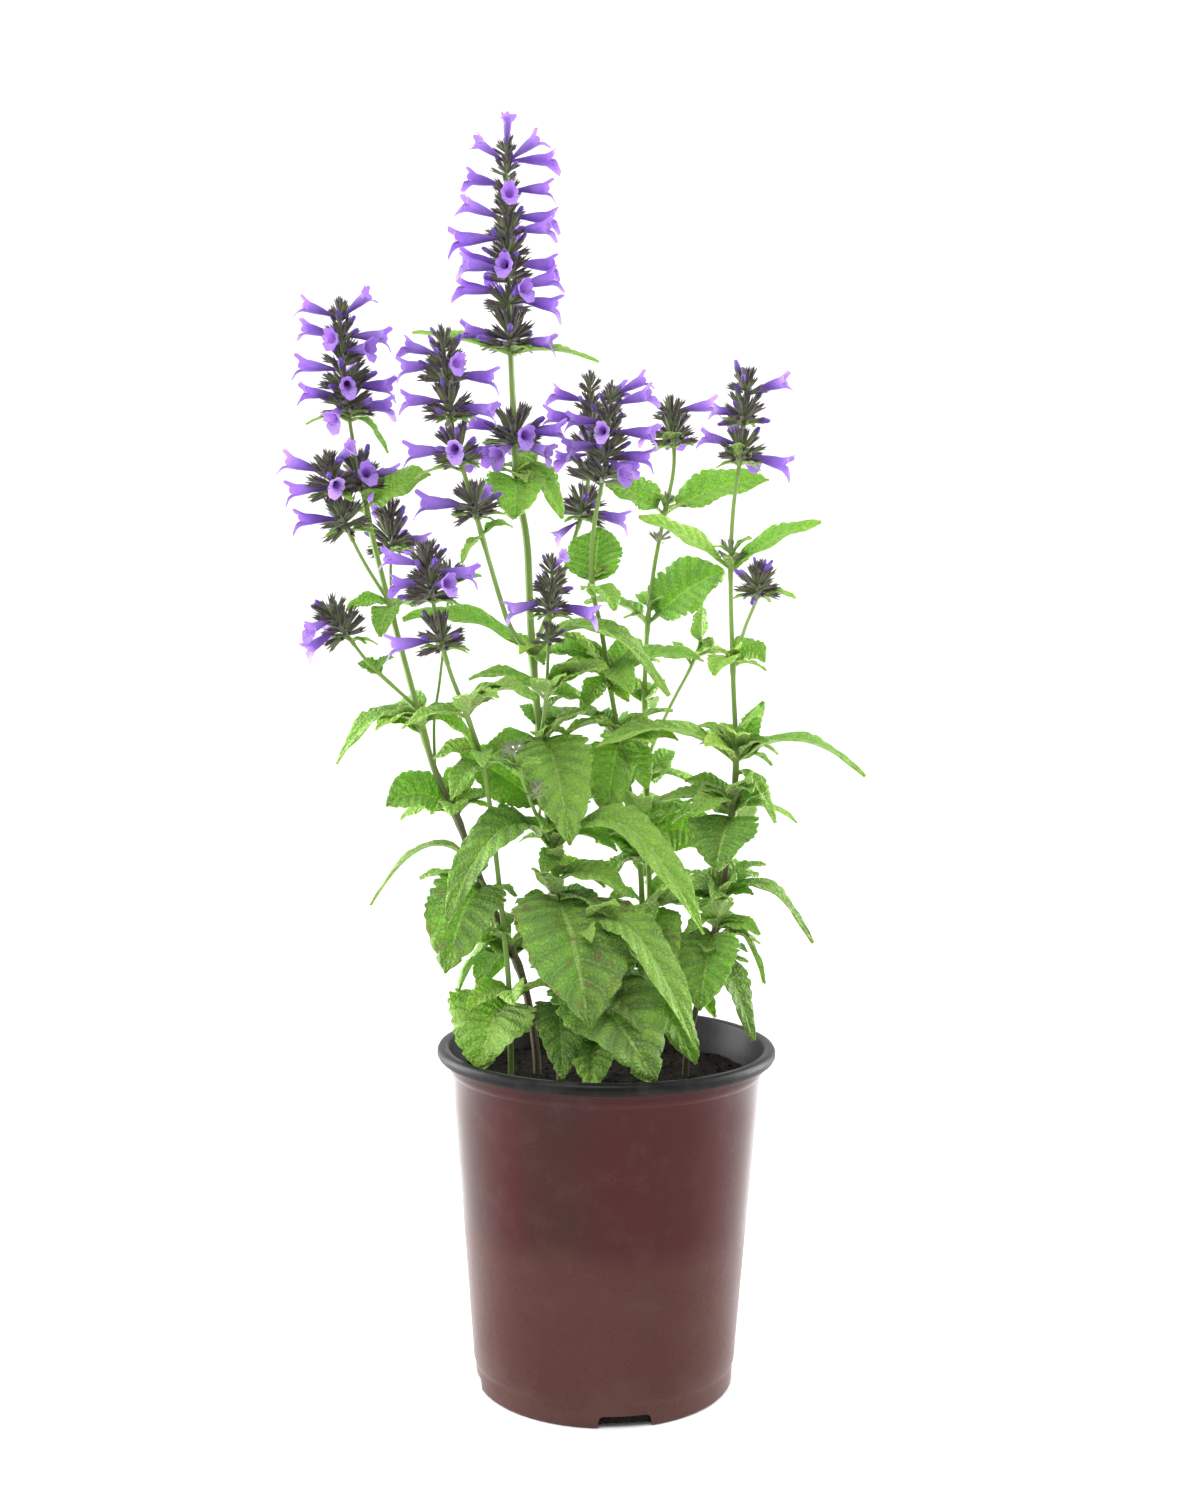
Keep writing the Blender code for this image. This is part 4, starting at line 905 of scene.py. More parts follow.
def blade(name, rows, columns, teeth, quilted):
    """A flat leaf: along it from 0 to 1, across it from -1 to 1, with its own width and relief as marks."""
    places = []
    across = []
    relief = []
    for side in (1, -1):
        for i in range(rows + 1):
            along = (i / rows) ** 0.9
            rise = max(0.0, (along - PETIOLE_SHARE) / (1 - PETIOLE_SHARE))
            half = HALF_SHARE * rise**LEAF_A * (1 - rise) ** LEAF_B / LEAF_PEAK
            petiole = max(0.0, 1 - rise * 9)
            tooth = (rise * teeth + 0.2) % 1.0
            notch = (max(0.0, tooth - TOOTH_PEAK) / (1 - TOOTH_PEAK)) ** 1.5
            notch += max(0.0, TOOTH_FOOT - tooth) * 2.5
            for j in range(columns + 1):
                out = 2 * j / columns - 1
                reach = abs(out)
                cut = 1 - TOOTH_CUT * notch * reach**4 * min(1.0, rise * 12)
                veins = (rise - VEIN_LEAN * reach) * VEINS
                quilt = abs(math.sin(math.pi * veins)) ** 0.8
                quilt *= math.sin(math.pi * min(1.0, reach * 1.1)) ** 0.5
                groove = math.exp(-((reach / 0.08) ** 2)) * (1 - rise)
                height = QUILT * quilted * (quilt - 0.5) * min(1.0, rise * 6) - GROOVE * groove
                edge = math.sqrt(max(0.0, 1 - 0.75 * out**2))
                thick = BLADE_THICK * (0.5 + 0.5 * edge) * (1 - petiole) + PETIOLE_THICK * edge * petiole
                places.append((along, out * cut, side * thick / 2))
                across.append((rise, out, side))
                relief.append((half, height, reach**3))
    # Both sides split their faces along the same diagonal, or one would show through the other
    span = (rows + 1) * (columns + 1)
    faces = []
    for i in range(rows):
        for j in range(columns):
            a = i * (columns + 1) + j
            b = a + columns + 1
            faces.append((a, a + 1, b + 1, b))
            faces.append((span + a, span + b, span + b + 1, span + a + 1))
    rim = [i * (columns + 1) for i in range(rows + 1)]
    far = [i + columns for i in rim]
    root = list(range(columns + 1))
    tip = [rows * (columns + 1) + j for j in range(columns + 1)]
    for row, flip in ((rim, 1), (far, -1), (root, -1), (tip, 1)):
        for a, b in zip(row, row[1:]):
            faces.append((a, b, b + span, a + span)[::flip])
    return marked(shown(name, places, faces), blade=across, relief=relief)


def leaf_tree():
    """Copies the blade to each point and bends it along that point's own midrib.

    Each point marks its reach from node to tip, its bend (arch, width and turn of the upper face towards the
    front) and its look (painted light, rust and a number of its own).
    """
    tree, given = new_tree("bent_leaves", [
        ("Blade", "Object", None), ("Petiole", "Float", PETIOLE_HALF), ("Fold", "Float", FOLD),
        ("Material", "Material", None),
    ])
    start = given["Geometry"]
    flat = start.node("GeometryNodeObjectInfo", (), {"Object": given["Blade"]}, "Geometry")
    copies = start.node("GeometryNodeInstanceOnPoints", (), {"Points": start, "Instance": flat})
    real = start.node("GeometryNodeRealizeInstances", (), {"Geometry": copies})

    base, reach, bend, look = (read(start, name) for name in ("base", "reach", "bend", "look"))
    relief = read(start, "relief")
    local = start.node("GeometryNodeInputPosition") - base
    along, out, thick = (local.axis(k) for k in range(3))
    arch, width, lean = (bend.axis(k) for k in range(3))

    rest = 1 - along
    rise = reach * 0.45 + arch * (0.0, 0.0, 2.0)
    midrib = rise * (2 * along * rest) + reach * (along * along)
    ahead = (rise * rest + (reach - rise) * along).unit()
    wing = (reach * (1.0, 1.0, 0.0)).unit().cross((0.0, 0.0, 1.0))
    facing = 1 - 2 * wing.axis(1).sum("GREATER_THAN", wing.axis(1), 0.0)
    side = wing * facing
    upper = wing.cross(ahead)
    cosine, sine = (lean.sum(kind, lean) for kind in ("COSINE", "SINE"))
    outward = side * cosine - upper * sine
    face = upper * cosine + side * sine

    half = width * relief.axis(0)
    half = half.sum("MAXIMUM", half, given["Petiole"])
    level = given["Fold"].sum("COSINE", given["Fold"])
    lift = given["Fold"].sum("SINE", given["Fold"])
    across = out * half * facing
    own = look.axis(2)
    ripple = along * 15.0 + own * 40.0 + out * 2.5
    ripple = ripple.sum("SINE", ripple) * relief.axis(2) * width * RIPPLE
    height = across.size() * lift + relief.axis(1) * width + thick + ripple
    bent = start.node(
        "GeometryNodeSetPosition", (),
        {"Geometry": real, "Position": base + midrib + outward * (across * level) + face * height},
    )
    close_tree(bent, given["Material"])
    return tree


leaf_green, shader, place = finish("leaf_green")
mark = seen(place, "blade")
look = seen(place, "look")
rise, out, upper = (mark.axis(k) for k in range(3))
# light is each leaf's painted light: high leaves lit through, low ones in shade
light, rust = look.axis(0), look.axis(1)
reach = out.size()
veins = (rise - reach * VEIN_LEAN) * (VEINS * math.pi)
vein = veins.sum("SINE", veins).size()
lateral = vein.between(0.34, 0.0) * reach.between(1.0, 0.6)
midrib = reach.between(0.06, 0.02)
net = place.node("ShaderNodeTexVoronoi", {"feature": "DISTANCE_TO_EDGE"}, {"Vector": place, "Scale": 420.0})
lines = net.between(0.10, 0.0)
patch = place.speckle(60.0, 4.0)
fine = place.speckle(1100.0, 3.0)
# Painted light and shade: each leaf's painted light, random patches of tone, painted shade in the grooves by
# the veins and along the fine net, and painted light on the blisters between
lightness = light + (patch - 0.5) * 0.7 + (vein - 0.6) * 0.25 - lines * 0.10
top = lightness.between(0.0, 0.5).mix(LEAF_DEEP_AND_SHADED, LEAF_MID)
top = lightness.between(0.5, 1.0).mix(top, LEAF_PALE_AND_LIT)
top = (lateral * 0.26 + midrib * 0.65).mix(top, LEAF_VEIN)
below = (lateral * 0.55 + midrib * 0.7 + lines * 0.2).mix(LEAF_UNDER, LEAF_VEIN)
# The underside too is painted lighter where the leaf is painted lit
below = (lightness * 0.4).mix(below, LEAF_PALE_AND_LIT)
colour = upper.between(-0.1, 0.1).mix(below, top)
edge = reach.between(0.84, 1.0) * (patch - 0.25).between(0.0, 0.5)
spots = (place.speckle(150.0, 2.0) - 0.56).between(0.0, 0.10) * 0.7
colour = ((edge + spots) * rust).between(0.0, 1.0).mix(colour, LEAF_RUST)
feed(
    shader,
    Base_Color=(fine.between(0.3, 0.8) * 0.3).mix(colour, LEAF_DOWN),
    Roughness=0.42 + fine * 0.2 + patch * 0.1,
    Normal=bump(vein * vein * 0.6 + net.between(0.0, 0.25) * 0.8 + fine * 0.15, 0.7, 0.0015),
    Specular_IOR_Level=0.32,
    Sheen_Weight=0.03,
    Subsurface_Weight=0.45,
    Subsurface_Radius=(0.0016, 0.0026, 0.0006),
    Subsurface_Scale=1.0,
)

# Wider leaves get a finer blade: each is (least width in millimetres, blade)
BLADES = (
    (20.0, blade("large_blade", 48, 12, 11, 1.0)),
    (11.0, blade("medium_blade", 32, 8, 9, 1.0)),
    (0.0, blade("small_blade", 20, 6, 6, 0.0)),
)
bent_leaves = leaf_tree()


def grow_leaves(name, entries):
    """One object with every leaf of a list of (place, reach, arch, width, turn, look), in metres."""
    made = []
    left = list(entries)
    for least, model in BLADES:
        group = [entry for entry in left if entry[3] >= least * MM]
        left = [entry for entry in left if entry[3] < least * MM]
        if not group:
            continue
        piece = marked(
            shown(name, [entry[0] for entry in group]),
            base=[entry[0] for entry in group],
            reach=[entry[1] for entry in group],
            bend=[(entry[2], entry[3], math.radians(entry[4])) for entry in group],
            look=[entry[5] for entry in group],
        )
        grow(piece, bent_leaves, Blade=model, Petiole=PETIOLE_HALF, Fold=FOLD, Material=leaf_green)
        made.append(piece)
    piece = joined(made)
    smooth(piece, 70)
    return piece


def joined(pieces):
    """One object from several, under the first one's name."""
    shape = bmesh.new()
    for piece in pieces:
        shape.from_mesh(piece.data)
    first = pieces[0]
    shape.to_mesh(first.data)
    shape.free()
    for piece in pieces[1:]:
        bpy.data.objects.remove(piece)
    return first


def leaf_look(z, chance):
    """Painted light, rust and which one a leaf is: high leaves painted lit, low ones painted shaded, and
    rustier.
    """
    light = 0.30 + 1.1 * (z - 0.2) + chance.uniform(-0.22, 0.22)
    rust = max(0.0, chance.uniform(-0.6, 0.9)) * (0.5 if z > 0.3 else 1.0)
    return (min(1.0, max(0.0, light)), rust, chance.random())


def young_leaf(root, bearing, rise, length, share, light, chance):
    """A leaf of a young shoot in the angle between a stem and its leaf."""
    angle = math.radians(bearing)
    reach = Vector((math.cos(angle), math.sin(angle), rise)).normalized() * length
    turn = chance.uniform(0, 40)
    return (root, reach, 0.16 * length, length * share, turn, (min(1.0, light), 0.0, chance.random()))


chance = random.Random(7)
for node, entries in LEAVES.items():
    leaves = []
    for line, height, reach, arch, width, turn in entries:
        root, ahead = at_height(line, height * MM)
        look = leaf_look(root.z, chance)
        full = WIDENING if width > WIDE_LEAF and root.z < WIDENING_TOP else 1.0
        leaves.append((root, Vector(reach) * MM, arch * MM, width * full * MM, turn, look))
        if width < SHOOT_WIDTH:
            continue
        bearing = math.degrees(math.atan2(reach[1], reach[0]))
        low = root.z < SHOOT_TOP
        for aside in (-70, -28, 34, 76) if low else (-40, 50):
            length = chance.uniform(17.0, 33.0) * MM if low else chance.uniform(11.0, 18.0) * MM
            at = root + ahead.normalized() * chance.uniform(-3.0, 9.0) * MM
            rise = chance.uniform(-0.35, 0.9)
            # A young leaf takes its leaf's painted light and is paler still
            leaves.append(young_leaf(
                at, bearing + aside + chance.uniform(-16, 16), rise, length, chance.uniform(0.40, 0.52),
                look[0] + chance.uniform(0.0, 0.35), chance,
            ))
    piece = grow_leaves(node.replace("stem", "leaves"), leaves)
    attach(piece, "root")
    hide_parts(node)


# The flower heads
#
# Each head is a thin axis with whorls of dark, hairy calyces, every one a tube that ends in five sharp teeth.
# They crowd into a spike towards the tip, with small leaves between them and under the lower whorls.

AXIS_RADIUS = 1.1 * MM
BRACT_WIDER = 1.25
CALYX_LENGTH = 12.2 * MM
CALYX_TEETH = 5
CALYX_ROWS = ((0.0, 0.050), (0.34, 0.095), (0.60, 0.105))
TOOTH_TIP = (1.0, 0.140)
TOOTH_NOTCH = (0.66, 0.108)
CALYX_THROAT = 0.5
CALYX_COUNT = 10
YOUNG_COUNT = 6
CALYX_ROOT = 1.3 * MM
ROW_RISE = 2.6
BUD_SHARE = 0.13
BUD_RADII = ((0.0, 0.05), (0.5, 0.06), (0.85, 0.10), (1.05, 0.12), (1.2, 0.07))
HAIRS_PER_M2 = 130000.0
HAIR_LENGTH = 1.5 * MM
HAIR_WIDTH = 0.10 * MM
CALYX_GREEN = (0.115, 0.150, 0.045)
CALYX_PURPLE = (0.042, 0.027, 0.029)
CALYX_YOUNG = (0.300, 0.360, 0.190)
CALYX_HAIR = (0.360, 0.330, 0.300)
HAIR_DARK = (0.20, 0.21, 0.14)
# The rows of a ring lift by these degrees towards the head's tip
WHORL_LIFTS = (2.0, 42.0)
YOUNG_LIFTS = (24.0, 58.0)
# A ring is a whorl where its lowest row lifts by no more than this
WHORL_LEVEL = 10.0
AXIS_PURPLE = 0.35
BRACT_BEARINGS = (-150, -30, 40, 140)


def whorl(z, size=1.0):
    """A ring that stands apart from the next, its lowest calyces nearly level."""
    return (z, size, *WHORL_LIFTS)


def spike(low, high, count, big=1.0, small=0.55):
    """Rings of a dense spike, smaller and closer to upright towards its tip."""
    rings = []
    for k in range(count):
        share = k / (count - 1)
        size = big + (small - big) * share
        rings.append((low + (high - low) * share**0.9, size, 14.0 + 24.0 * share, 40.0 + 30.0 * share))
    return rings


# A head is its line, the heights where it starts and ends, its rings of calyces as (height, size, lower
# lift, upper lift), its flowers as (height, bearing, tilt, size), and the small leaves under its rings as
# (height, reach from node to tip, arch, width, turn), in millimetres and degrees
HEADS = {
    "head_tall": (
        TALL, 451, 603,
        [whorl(459, 1.1), whorl(505, 1.05)] + spike(523, 593, 8),
        [
            (462, 175, 10, 1.0), (456, 203, -5, 0.9), (462, 5, 12, 1.0), (457, -28, -5, 0.9),
            (461, -75, 0, 0.9), (457, -112, -12, 0.9), (460, 88, 8, 1.0), (458, 132, -4, 0.9),
            (506, 190, 14, 1.0), (505, -8, 6, 0.95), (504, 92, 8, 0.9),
            (527, 186, 12, 1.0), (529, 6, 14, 1.05), (525, -14, -4, 1.1), (529, -68, -8, 0.9),
            (528, 80, 8, 1.0),
            (538, 203, 2, 1.0), (539, -95, -4, 0.9), (541, 20, 6, 1.0), (541, 166, 12, 1.05),
            (540, 110, 6, 1.0),
            (553, 180, 8, 1.1), (556, -15, 4, 1.0), (563, 12, 5, 1.0), (561, 196, 16, 1.0),
            (558, 85, 10, 1.0),
            (568, -82, 5, 0.85), (575, -2, 6, 0.95), (577, 162, 14, 0.95), (574, 95, 14, 0.9),
            (588, 203, 28, 0.8), (588, -20, 30, 0.85), (589, 18, 14, 0.95), (592, -90, 76, 0.75),
        ],
        [(499, (-47, 2, 10), 2, 11, 20), (499, (42, -4, -4), 4, 9, 15), (452, (8, 22, -4), 3, 10, 0)],
    ),
    "head_tall_front": (
        TALL_FRONT, 359, 403,
        [whorl(364, 0.6), whorl(378, 0.8), (388, 0.75, 20, 48), (396, 0.6, 38, 62)],
        [(382, 196, -12, 0.9), (381, -12, -8, 1.0), (396, -58, 38, 0.6)],
        [],
    ),
    "head_tall_left": (
        TALL_LEFT, 415, 504,
        [whorl(423, 0.95), whorl(447, 0.95), whorl(467, 0.95), (482, 1.0, 16, 44), (490, 0.85, 28, 52),
         (497, 0.65, 40, 64)],
        [
            (425, 182, 5, 1.05), (427, 70, 8, 0.9), (450, 186, 3, 1.05), (452, -88, 0, 0.85),
            (449, 80, 5, 0.9), (470, -14, -4, 0.95), (472, 190, -2, 0.95), (484, -6, 2, 1.0),
            (487, -72, 2, 0.85), (488, 192, 6, 0.95), (492, 172, 20, 0.85), (486, 92, 10, 0.95),
        ],
        [(441, (-22, -2, -4), 3, 5, 10)],
    ),
    "head_tall_right": (
        TALL_RIGHT, 418, 495,
        [whorl(426, 0.95)] + spike(446, 487, 5, 1.0, 0.6),
        [
            (426, 12, -3, 1.0), (422, 196, -24, 0.7), (471, 178, 4, 0.95), (480, 168, 14, 0.85),
            (482, 24, 18, 0.85), (462, 95, 8, 0.95), (455, 140, 2, 0.9), (476, 80, 16, 0.85),
        ],
        [],
    ),
    "head_left": (
        LEFT, 428, 521,
        [whorl(436, 1.05), whorl(471, 1.0)] + spike(482, 513, 4, 1.0, 0.6),
        [
            (438, -78, 8, 0.9), (439, 198, 8, 0.8), (437, 86, 0, 1.0), (440, 12, 14, 0.8),
            (472, 30, 2, 0.9), (474, -112, -32, 0.85), (476, 188, 2, 0.95), (481, -10, -4, 1.0),
            (483, -84, -8, 0.85), (488, 180, 4, 0.95), (486, 85, 8, 1.0), (497, -44, 4, 0.9),
            (500, -100, 2, 0.8), (503, 172, 14, 0.85), (504, -8, 8, 0.9), (504, 95, 16, 0.85),
            (512, 198, 14, 0.8), (512, -24, 34, 0.85),
        ],
        [(465, (-20, -2, -2), 3, 6, 10), (465, (18, -4, -15), 6, 6, 10)],
    ),
    "head_left_side": (
        LEFT_SIDE, 409, 449,
        [whorl(417, 0.95), whorl(433, 0.95), (441, 0.7, 34, 58)],
        [
            (419, 190, 4, 0.95), (433, 176, -5, 0.95), (436, -74, -4, 0.8), (439, 186, 18, 0.9),
            (441, -40, 30, 0.75),
        ],
        [],
    ),
    "head_left_back": (
        LEFT_BACK, 402, 431,
        [whorl(409, 0.95), (422, 0.75, 24, 52)],
        [(412, 14, 2, 0.85), (424, 120, 18, 0.8), (411, 84, 6, 0.95)],
        [],
    ),
    "head_far_left": (
        FAR_LEFT, 361, 381,
        [whorl(367, 0.9), (374, 0.8, 26, 54)],
        [(369, 206, -30, 0.85), (373, -128, -16, 0.8), (371, 108, -6, 0.85)],
        [],
    ),
    "head_left_thin": (
        LEFT_THIN, 385, 401,
        [(392, 0.8, 14, 50)],
        [],
        [(388, (16, 3, 6), 2, 6, 20)],
    ),
    "head_front": (
        FRONT, 353, 407,
        [whorl(363, 0.9), whorl(385, 0.95), (394, 0.9, 20, 48), (401, 0.65, 38, 62)],
        [
            (364, 187, 3, 1.0), (395, -10, 5, 1.0), (397, 197, 14, 0.9), (388, -62, 12, 0.85),
            (390, 150, 6, 0.85),
        ],
        [],
    ),
    "head_middle": (
        MIDDLE, 432, 485,
        spike(441, 477, 5, 1.05, 0.6),
        [
            (446, 35, 2, 0.9), (450, -62, -18, 0.9), (452, -2, 4, 1.0), (456, 205, -6, 0.9),
            (462, -18, 6, 1.05), (466, 190, 12, 0.9), (462, -105, 0, 0.85), (474, -22, 14, 0.9),
            (478, 12, 34, 0.8),
        ],
        [],
    ),
    "head_back": (
        BACK, 457, 485,
        [whorl(464, 0.95), (476, 0.8, 24, 54)],
        [(478, -12, 12, 0.95), (468, 150, 6, 0.85), (466, 70, 4, 0.9)],
        [(459, (-2, -10, 8), 1, 9, 0)],
    ),
    "head_right": (
        RIGHT, 442, 491,
        [whorl(451, 0.9), whorl(469, 0.85), (482, 0.8, 24, 54)],
        [
            (452, -6, -4, 1.0), (456, 172, 20, 0.85), (454, 75, 4, 0.95), (470, 195, 8, 0.7),
            (468, 100, 8, 0.85), (480, -14, 14, 0.9),
        ],
        [(446, (-2, -11, 10), 1, 10, 0), (446, (3, 11, 6), 2, 9, 0)],
    ),
    "head_right_side": (
        RIGHT_SIDE, 382, 401,
        [whorl(388, 0.85), (395, 0.6, 36, 60)],
        [],
        [(384, (18, -4, 0), 3, 7, 15)],
    ),
}
BUDS = {
    "stem_tall": [(TALL_YOUNG, 313, 0.6), (TALL_BUD, 294, 0.55)],
    "stem_back": [(BACK, 413, 0.6), (BACK, 432, 0.5)],
    "stem_right": [(RIGHT, 404, 0.7)],
}


def tube_faces(rows, sides):
    """The foot and the wall of a tube whose points are rows of this many sides."""
    faces = [tuple(reversed(range(sides)))]
    for row in range(rows - 1):
        for k in range(sides):
            a = row * sides + k
            b = row * sides + (k + 1) % sides
            faces.append((a, b, b + sides, a + sides))
    return faces


def calyx():
    """One calyx along +Z, 1 long: a tube that flares into five pointed teeth, open at its mouth."""
    sides = CALYX_TEETH * 2
    rings = [[(z, radius)] * sides for z, radius in CALYX_ROWS]
    rings.append([TOOTH_NOTCH if k % 2 else TOOTH_TIP for k in range(sides)])
    points = []
    along = []
    for ring in rings:
        for k, (z, radius) in enumerate(ring):
            angle = 2 * math.pi * k / sides
            points.append((radius * math.cos(angle), radius * math.sin(angle), z))
            along.append(z)
    faces = tube_faces(len(rings), sides)
    rim = (len(rings) - 1) * sides
    points.append((0.0, 0.0, CALYX_THROAT))
    along.append(CALYX_THROAT)
    faces += [(rim + k, rim + (k + 1) % sides, len(points) - 1) for k in range(sides)]
    return marked(shown("calyx", points, faces), along=along)


def hair():
    """One hair along +Z, three-sided."""
    half = HAIR_WIDTH / 2
    foot = [(half, 0, 0), (-half * 0.5, half * 0.87, 0), (-half * 0.5, -half * 0.87, 0)]
    points = [*foot, (0, 0, HAIR_LENGTH)]
    return shown("hair", points, [(0, 2, 1), (0, 1, 3), (1, 2, 3), (2, 0, 3)])


def placed_tree(hairy):
    """Copies one model to each point, its +Z along the point's ahead and its +Y along the point's above.

    The hairy tree also scatters hairs on the copies, standing off their faces.
    """
    tree, given = new_tree("placed_hairy" if hairy else "placed", [
        ("Model", "Object", None), ("Material", "Material", None), ("Hair", "Object", None),
        ("Hair Material", "Material", None), ("Hairs per area", "Float", 0.0),
    ])
    start = given["Geometry"]
    model = start.node("GeometryNodeObjectInfo", (), {"Object": given["Model"]}, "Geometry")
    ahead, above, size = read(start, "ahead"), read(start, "above"), read(start, "size", "FLOAT")
    turn = start.node(
        "FunctionNodeAxesToRotation", {"primary_axis": "Z", "secondary_axis": "Y"},
        {"Primary Axis": ahead, "Secondary Axis": above},
    )
    copies = start.node(
        "GeometryNodeInstanceOnPoints", (),
        {"Points": start, "Instance": model, "Rotation": turn, "Scale": size},
    )
    if not hairy:
        close_tree(copies, given["Material"])
        return tree
    real = start.node("GeometryNodeRealizeInstances", (), {"Geometry": copies})
    skin = start.node("GeometryNodeSetMaterial", (), {"Geometry": real, "Material": given["Material"]})
    roots = start.node(
        "GeometryNodeDistributePointsOnFaces", (),
        {"Mesh": real, "Density": given["Hairs per area"], "Seed": 5},
    )
    normal = Wire(roots.socket.node.outputs["Normal"])
    lean = start.node(
        "FunctionNodeRandomValue", {"data_type": "FLOAT_VECTOR"},
        {0: (-0.6, -0.6, -0.2), 1: (0.6, 0.6, 0.8), "Seed": 6},
    )
    stand = start.node("FunctionNodeAlignRotationToVector", {"axis": "Z"}, {"Vector": normal + lean})
    one = start.node("GeometryNodeObjectInfo", (), {"Object": given["Hair"]}, "Geometry")
    hairs = start.node(
        "GeometryNodeInstanceOnPoints", (), {"Points": roots, "Instance": one, "Rotation": stand}
    )
    hairs = start.node("GeometryNodeRealizeInstances", (), {"Geometry": hairs})
    hairs = start.node("GeometryNodeSetMaterial", (), {"Geometry": hairs, "Material": given["Hair Material"]})
    both = start.node("GeometryNodeJoinGeometry")
    for part in (skin, hairs):
        start.tree.links.new(part.socket, both.socket.node.inputs[0])
    end = start.tree.nodes.new("NodeGroupOutput")
    start.tree.links.new(both.socket, end.inputs[0])
    return tree


def grow_placed(name, entries, tree, **settings):
    """One object with a copy of a model for each (place, ahead, above, size, look)."""
    piece = marked(
        shown(name, [entry[0] for entry in entries]),
        ahead=[entry[1] for entry in entries], above=[entry[2] for entry in entries],
        size=[entry[3] for entry in entries], look=[entry[4] for entry in entries],
    )
    grow(piece, tree, **settings)
    smooth(piece, 50)
    return piece


def across(direction, angle):
    """A unit vector square to a rising direction, at an angle seen from above."""
    right = Vector((0.0, 1.0, 0.0)).cross(direction).normalized()
    back = direction.cross(right)
    return right * math.cos(angle) + back * math.sin(angle)


def ring_calyces(line, ring, count, chance, young=0.0):
    """The calyces of one ring, in rows that point further up one above another."""
    z, size, *lifts = ring
    spread = 2.4 if lifts[0] > WHORL_LEVEL else 0.9
    if lifts[0] <= WHORL_LEVEL and not young:
        lifts = [lifts[0], 0.5 * (lifts[0] + lifts[1]), lifts[1] + 20.0]
    made = []
    for row, lift in enumerate(lifts):
        for k in range(count):
            rise = (row - 0.5) * ROW_RISE + chance.uniform(-spread, spread)
            root, ahead = at_height(line, (z + rise * min(1.0, size)) * MM)
            angle = 2 * math.pi * (k + 0.5 * row + chance.uniform(-0.22, 0.22)) / count
            up = math.radians(lift + chance.uniform(-14, 14))
            out = across(ahead, angle)
            aim = out * math.cos(up) + ahead * math.sin(up)
            scale = CALYX_LENGTH * size * chance.uniform(0.86, 1.12)
            look = (chance.random(), chance.random(), young)
            made.append((root + out * CALYX_ROOT * min(1.0, size), aim, ahead, scale, look))
    return made


calyx_skin, shader, place = finish("calyx_skin")
along = seen(place, "along", "Fac")
look = seen(place, "look")
grain = place.speckle(900.0, 3.0)
colour = (along * 1.1 + (look.axis(0) - 0.5) * 0.8 + (grain - 0.5) * 0.6).between(0.15, 0.85)
colour = colour.mix(CALYX_GREEN, CALYX_PURPLE)
colour = (look.axis(2) * (1.1 - along)).mix(colour, CALYX_YOUNG)
feed(
    shader,
    Base_Color=((grain - 0.45) * 1.2 * along).between(0.0, 0.6).mix(colour, CALYX_HAIR),
    Roughness=0.55 + grain * 0.25,
    Normal=bump(grain, 0.6, 0.0004),
    Sheen_Weight=0.25,
)

hair_pale, shader, place = finish("hair_pale")
feed(shader, Base_Color=place.speckle(500.0).mix(CALYX_HAIR, HAIR_DARK), Roughness=0.6)

hairy = placed_tree(True)
calyx_model = calyx()
hair_model = hair()
calyx_settings = {
    "Model": calyx_model, "Material": calyx_skin, "Hair": hair_model, "Hair_Material": hair_pale,
    "Hairs_per_area": HAIRS_PER_M2,
}
chance = random.Random(11)
bud_places = {}
for name, (line, low, high, rings, flowers, bracts) in HEADS.items():
    made = []
    for ring in rings:
        made += ring_calyces(line, ring, CALYX_COUNT if ring[1] > 0.7 else CALYX_COUNT - 2, chance)
    bud_places[name] = [one for one in made if chance.random() < BUD_SHARE]
    tip, ahead = at_height(line, (high - 4) * MM)
    made.append((tip, ahead, across(ahead, 0.0), CALYX_LENGTH * 0.5, (0.5, 0.5, 0.0)))
    piece = grow_placed(name.replace("head", "calyces"), made, hairy, **calyx_settings)
    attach(piece, "root")
    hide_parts(name)
for node, entries in BUDS.items():
    made = []
    for line, height, size in entries:
        made += ring_calyces(line, (height, size * 0.85, *YOUNG_LIFTS), YOUNG_COUNT, chance, 1.0)
    piece = grow_placed(node.replace("stem", "young_calyces"), made, hairy, **calyx_settings)
    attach(piece, "root")
    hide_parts(node)
bpy.data.objects.remove(calyx_model)
bpy.data.objects.remove(hair_model)

